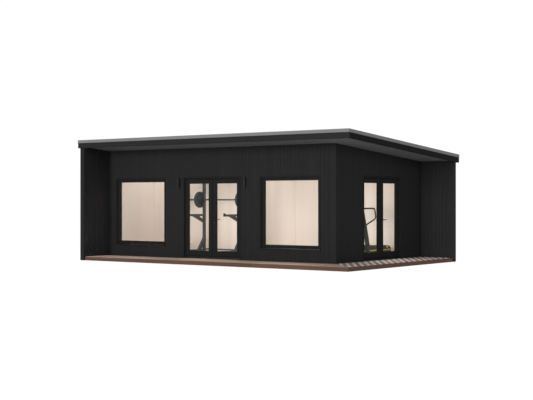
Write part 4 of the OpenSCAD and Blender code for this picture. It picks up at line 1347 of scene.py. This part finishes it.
m = Mesh()
for x in (TF[0][0], TF[1][0] - 29.5):
    xc = x + 14.75
    prism(m, [(842, floor_z + 4), (1007, floor_z + 4), (1007, 416), (879, 830), (771, 1160), (737, 1304), (642, 1304),
              (691, 1000), (749, 740), (842, 420)], x + 1, x + 28.5, side_of, 5, 3, 0, 0.5)
    prism(m, [(806, 700), (740, 960), (762, 966), (828, 706)], x, x + 29.5, side_of, 1.5, 1, 1, 0.5)
    cbox(m, (x, 836, floor_z), (x + 29.5, 1024, floor_z + 18), 4, 1)
    loop = fillet([(xc, 656, 1306), (xc, 1190, 1306), (xc, 1240, 1294), (xc, 1266, 1256), (xc, 1304, 1110), (xc, 1292, 1066),
                   (xc, 1254, 1044), (xc, 866, 910)], 20, 5)
    tube(m, loop, 14.0, 20, 1, 0.5, flat=(18.7, 14.0))
    grip = fillet([(xc, 950, 1306), (xc, 1190, 1306), (xc, 1240, 1294)], 20, 5)
    tube(m, grip[:-1], 14.7, 20, 1, 0.5, flat=(19.0, 14.7))
make("treadmill_posts", moved(m), [M_TFRAME, M_RACKDARK], BODY, ("treadmill_frame",))

m = Mesh()
cx0_, cx1_ = TC[0][0], TC[1][0]
prism(m, [(540, 1252), (660, 1252), (698, 1290), (602, 1466), (562, 1468), (522, 1300)], cx0_ + 0.6, cx1_ - 0.6, side_of, 9, 3, 0, 0.5)
dn_ = Vector((698 - 602, 1290 - 1466)).normalized()
out_ = Vector((-dn_.y, dn_.x))
if out_.x < 0:
    out_ = -out_


def face_of(p, q, t):
    """p across, q up along the sloping face, t out of it"""
    base = Vector((698, 1290)) - dn_ * q + out_ * t
    return p, base.x, base.y


xm = (cx0_ + cx1_) / 2
prism(m, rrect(xm - 210, 44, xm + 210, 176, 10, 4), -4, 0.8, face_of, 0.6, 1, 1, 0.5)
for k in range(-3, 4):
    if k:
        lathe(m, [(0, -3), (9, -3), (9, 0.2), (8, 1.0), (0, 1.3)],
              lambda a, b, h, k=k: face_of(xm + 38 * k + a, 26 + b, h), 24, 2 if abs(k) < 3 else 3)
for s in (-1, 1):
    for r0, r1, h0, h1 in ((26, 32, -4, 1.0), (18, 24, -4, 0.6)):
        lathe(m, [(r0, h0), (r0, h1), (r1, h1), (r1, h0)],
              lambda a, b, h, s=s: face_of(xm + s * 290 + a, 110 + b, h), 32, 2, 0.5, True)
make("treadmill_display", moved(m), [M_RACKDARK, M_SCREEN, M_TFRAME, M_YELLOW], BODY, ("treadmill_console",))

# ---------------------------------------------------------------- CAD nodes that stay
for name, mat in (("floor_base", M_JOIST), ("deck_frame", M_JOIST), ("roof_panel", M_JOIST), ("roof_covering", M_ROOF)):
    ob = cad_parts[name]
    ob.data.materials.clear()
    ob.data.materials.append(mat)

# ---------------------------------------------------------------- floor, light and camera
bpy.ops.mesh.primitive_plane_add(size=240, location=(0, 0, -0.002))
ground = bpy.context.object
ground.name = "studio_floor"
mt = bpy.data.materials.new("studio_floor")
mt.use_nodes = True
nt = mt.node_tree
nt.nodes.clear()
out = nt.nodes.new("ShaderNodeOutputMaterial")
em = nt.nodes.new("ShaderNodeEmission")
em.inputs["Color"].default_value = (1, 1, 1, 1)
em.inputs["Strength"].default_value = 1.02
dim = nt.nodes.new("ShaderNodeEmission")  # what the floor gives to the object is softer than what is seen
dim.inputs["Color"].default_value = (1, 1, 1, 1)
dim.inputs["Strength"].default_value = 0.62
seen = nt.nodes.new("ShaderNodeLightPath")
mix = nt.nodes.new("ShaderNodeMixShader")
nt.links.new(seen.outputs["Is Camera Ray"], mix.inputs[0])
nt.links.new(dim.outputs[0], mix.inputs[1])
nt.links.new(em.outputs[0], mix.inputs[2])
nt.links.new(mix.outputs[0], out.inputs[0])
ground.data.materials.append(mt)

world = bpy.data.worlds.new("studio")
bpy.context.scene.world = world
world.use_nodes = True
bg = world.node_tree.nodes["Background"]
bg.inputs["Color"].default_value = (1, 1, 1, 1)
bg.inputs["Strength"].default_value = 1.02
wt = world.node_tree
soft = wt.nodes.new("ShaderNodeBackground")
soft.inputs["Color"].default_value = (1, 1, 1, 1)
soft.inputs["Strength"].default_value = 0.30
seen = wt.nodes.new("ShaderNodeLightPath")
mix = wt.nodes.new("ShaderNodeMixShader")
wt.links.new(seen.outputs["Is Camera Ray"], mix.inputs[0])
wt.links.new(soft.outputs[0], mix.inputs[1])
wt.links.new(bg.outputs[0], mix.inputs[2])
wt.links.new(mix.outputs[0], next(n for n in wt.nodes if n.type == "OUTPUT_WORLD").inputs[0])


def sun(name, direction, strength, angle):
    d = bpy.data.lights.new(name, "SUN")
    d.energy = strength
    d.angle = math.radians(angle)
    ob = bpy.data.objects.new(name, d)
    bpy.context.scene.collection.objects.link(ob)
    ob.rotation_mode = "QUATERNION"
    ob.rotation_quaternion = Vector(direction).to_track_quat("-Z", "Y")
    return ob


sun("key", (-0.02, 1.0, -0.12), 2.25, 18)
sun("side", (-1.0, 0.3, -0.15), 0.84, 20)

room = bpy.data.lights.new("room", "AREA")
room.shape = "RECTANGLE"
room.size, room.size_y = 6.5, 3.4
room.energy = 142
room.color = (1.0, 0.985, 0.965)
ro = bpy.data.objects.new("room", room)
bpy.context.scene.collection.objects.link(ro)
ro.location = ((xli + xri) / 2 * MM, (yfi + ybi) / 2 * MM, (zs(ybi) - 60) * MM)
ro.visible_camera = False

# a weak fill low in the rear left corner, where the plates shade the lining
fill = bpy.data.lights.new("corner_fill", "AREA")
fill.shape = "RECTANGLE"
fill.size, fill.size_y = 1.0, 1.25
fill.energy = 2.6
fill.color = (1.0, 0.985, 0.965)
fo = bpy.data.objects.new("corner_fill", fill)
bpy.context.scene.collection.objects.link(fo)
fo.location = (xli * MM + 0.34, 1.75, 0.96)
fo.rotation_mode = "QUATERNION"
fo.rotation_quaternion = Vector((-1.0, 0.0, 0.0)).to_track_quat("-Z", "Y")
fo.visible_camera = False

scene = bpy.context.scene
scene.view_settings.view_transform = "Standard"
scene.view_settings.look = "None"

cam = bpy.data.cameras.new("camera")
cam.sensor_width = 36
cam.lens = 76.56
cam.shift_y = 0.0008
cam.clip_end = 500
co_ = bpy.data.objects.new("camera", cam)
scene.collection.objects.link(co_)
co_.location = (16.6215, -22.6695, 1.5)
co_.rotation_euler = (math.radians(90), 0, math.radians(36.243))
scene.camera = co_
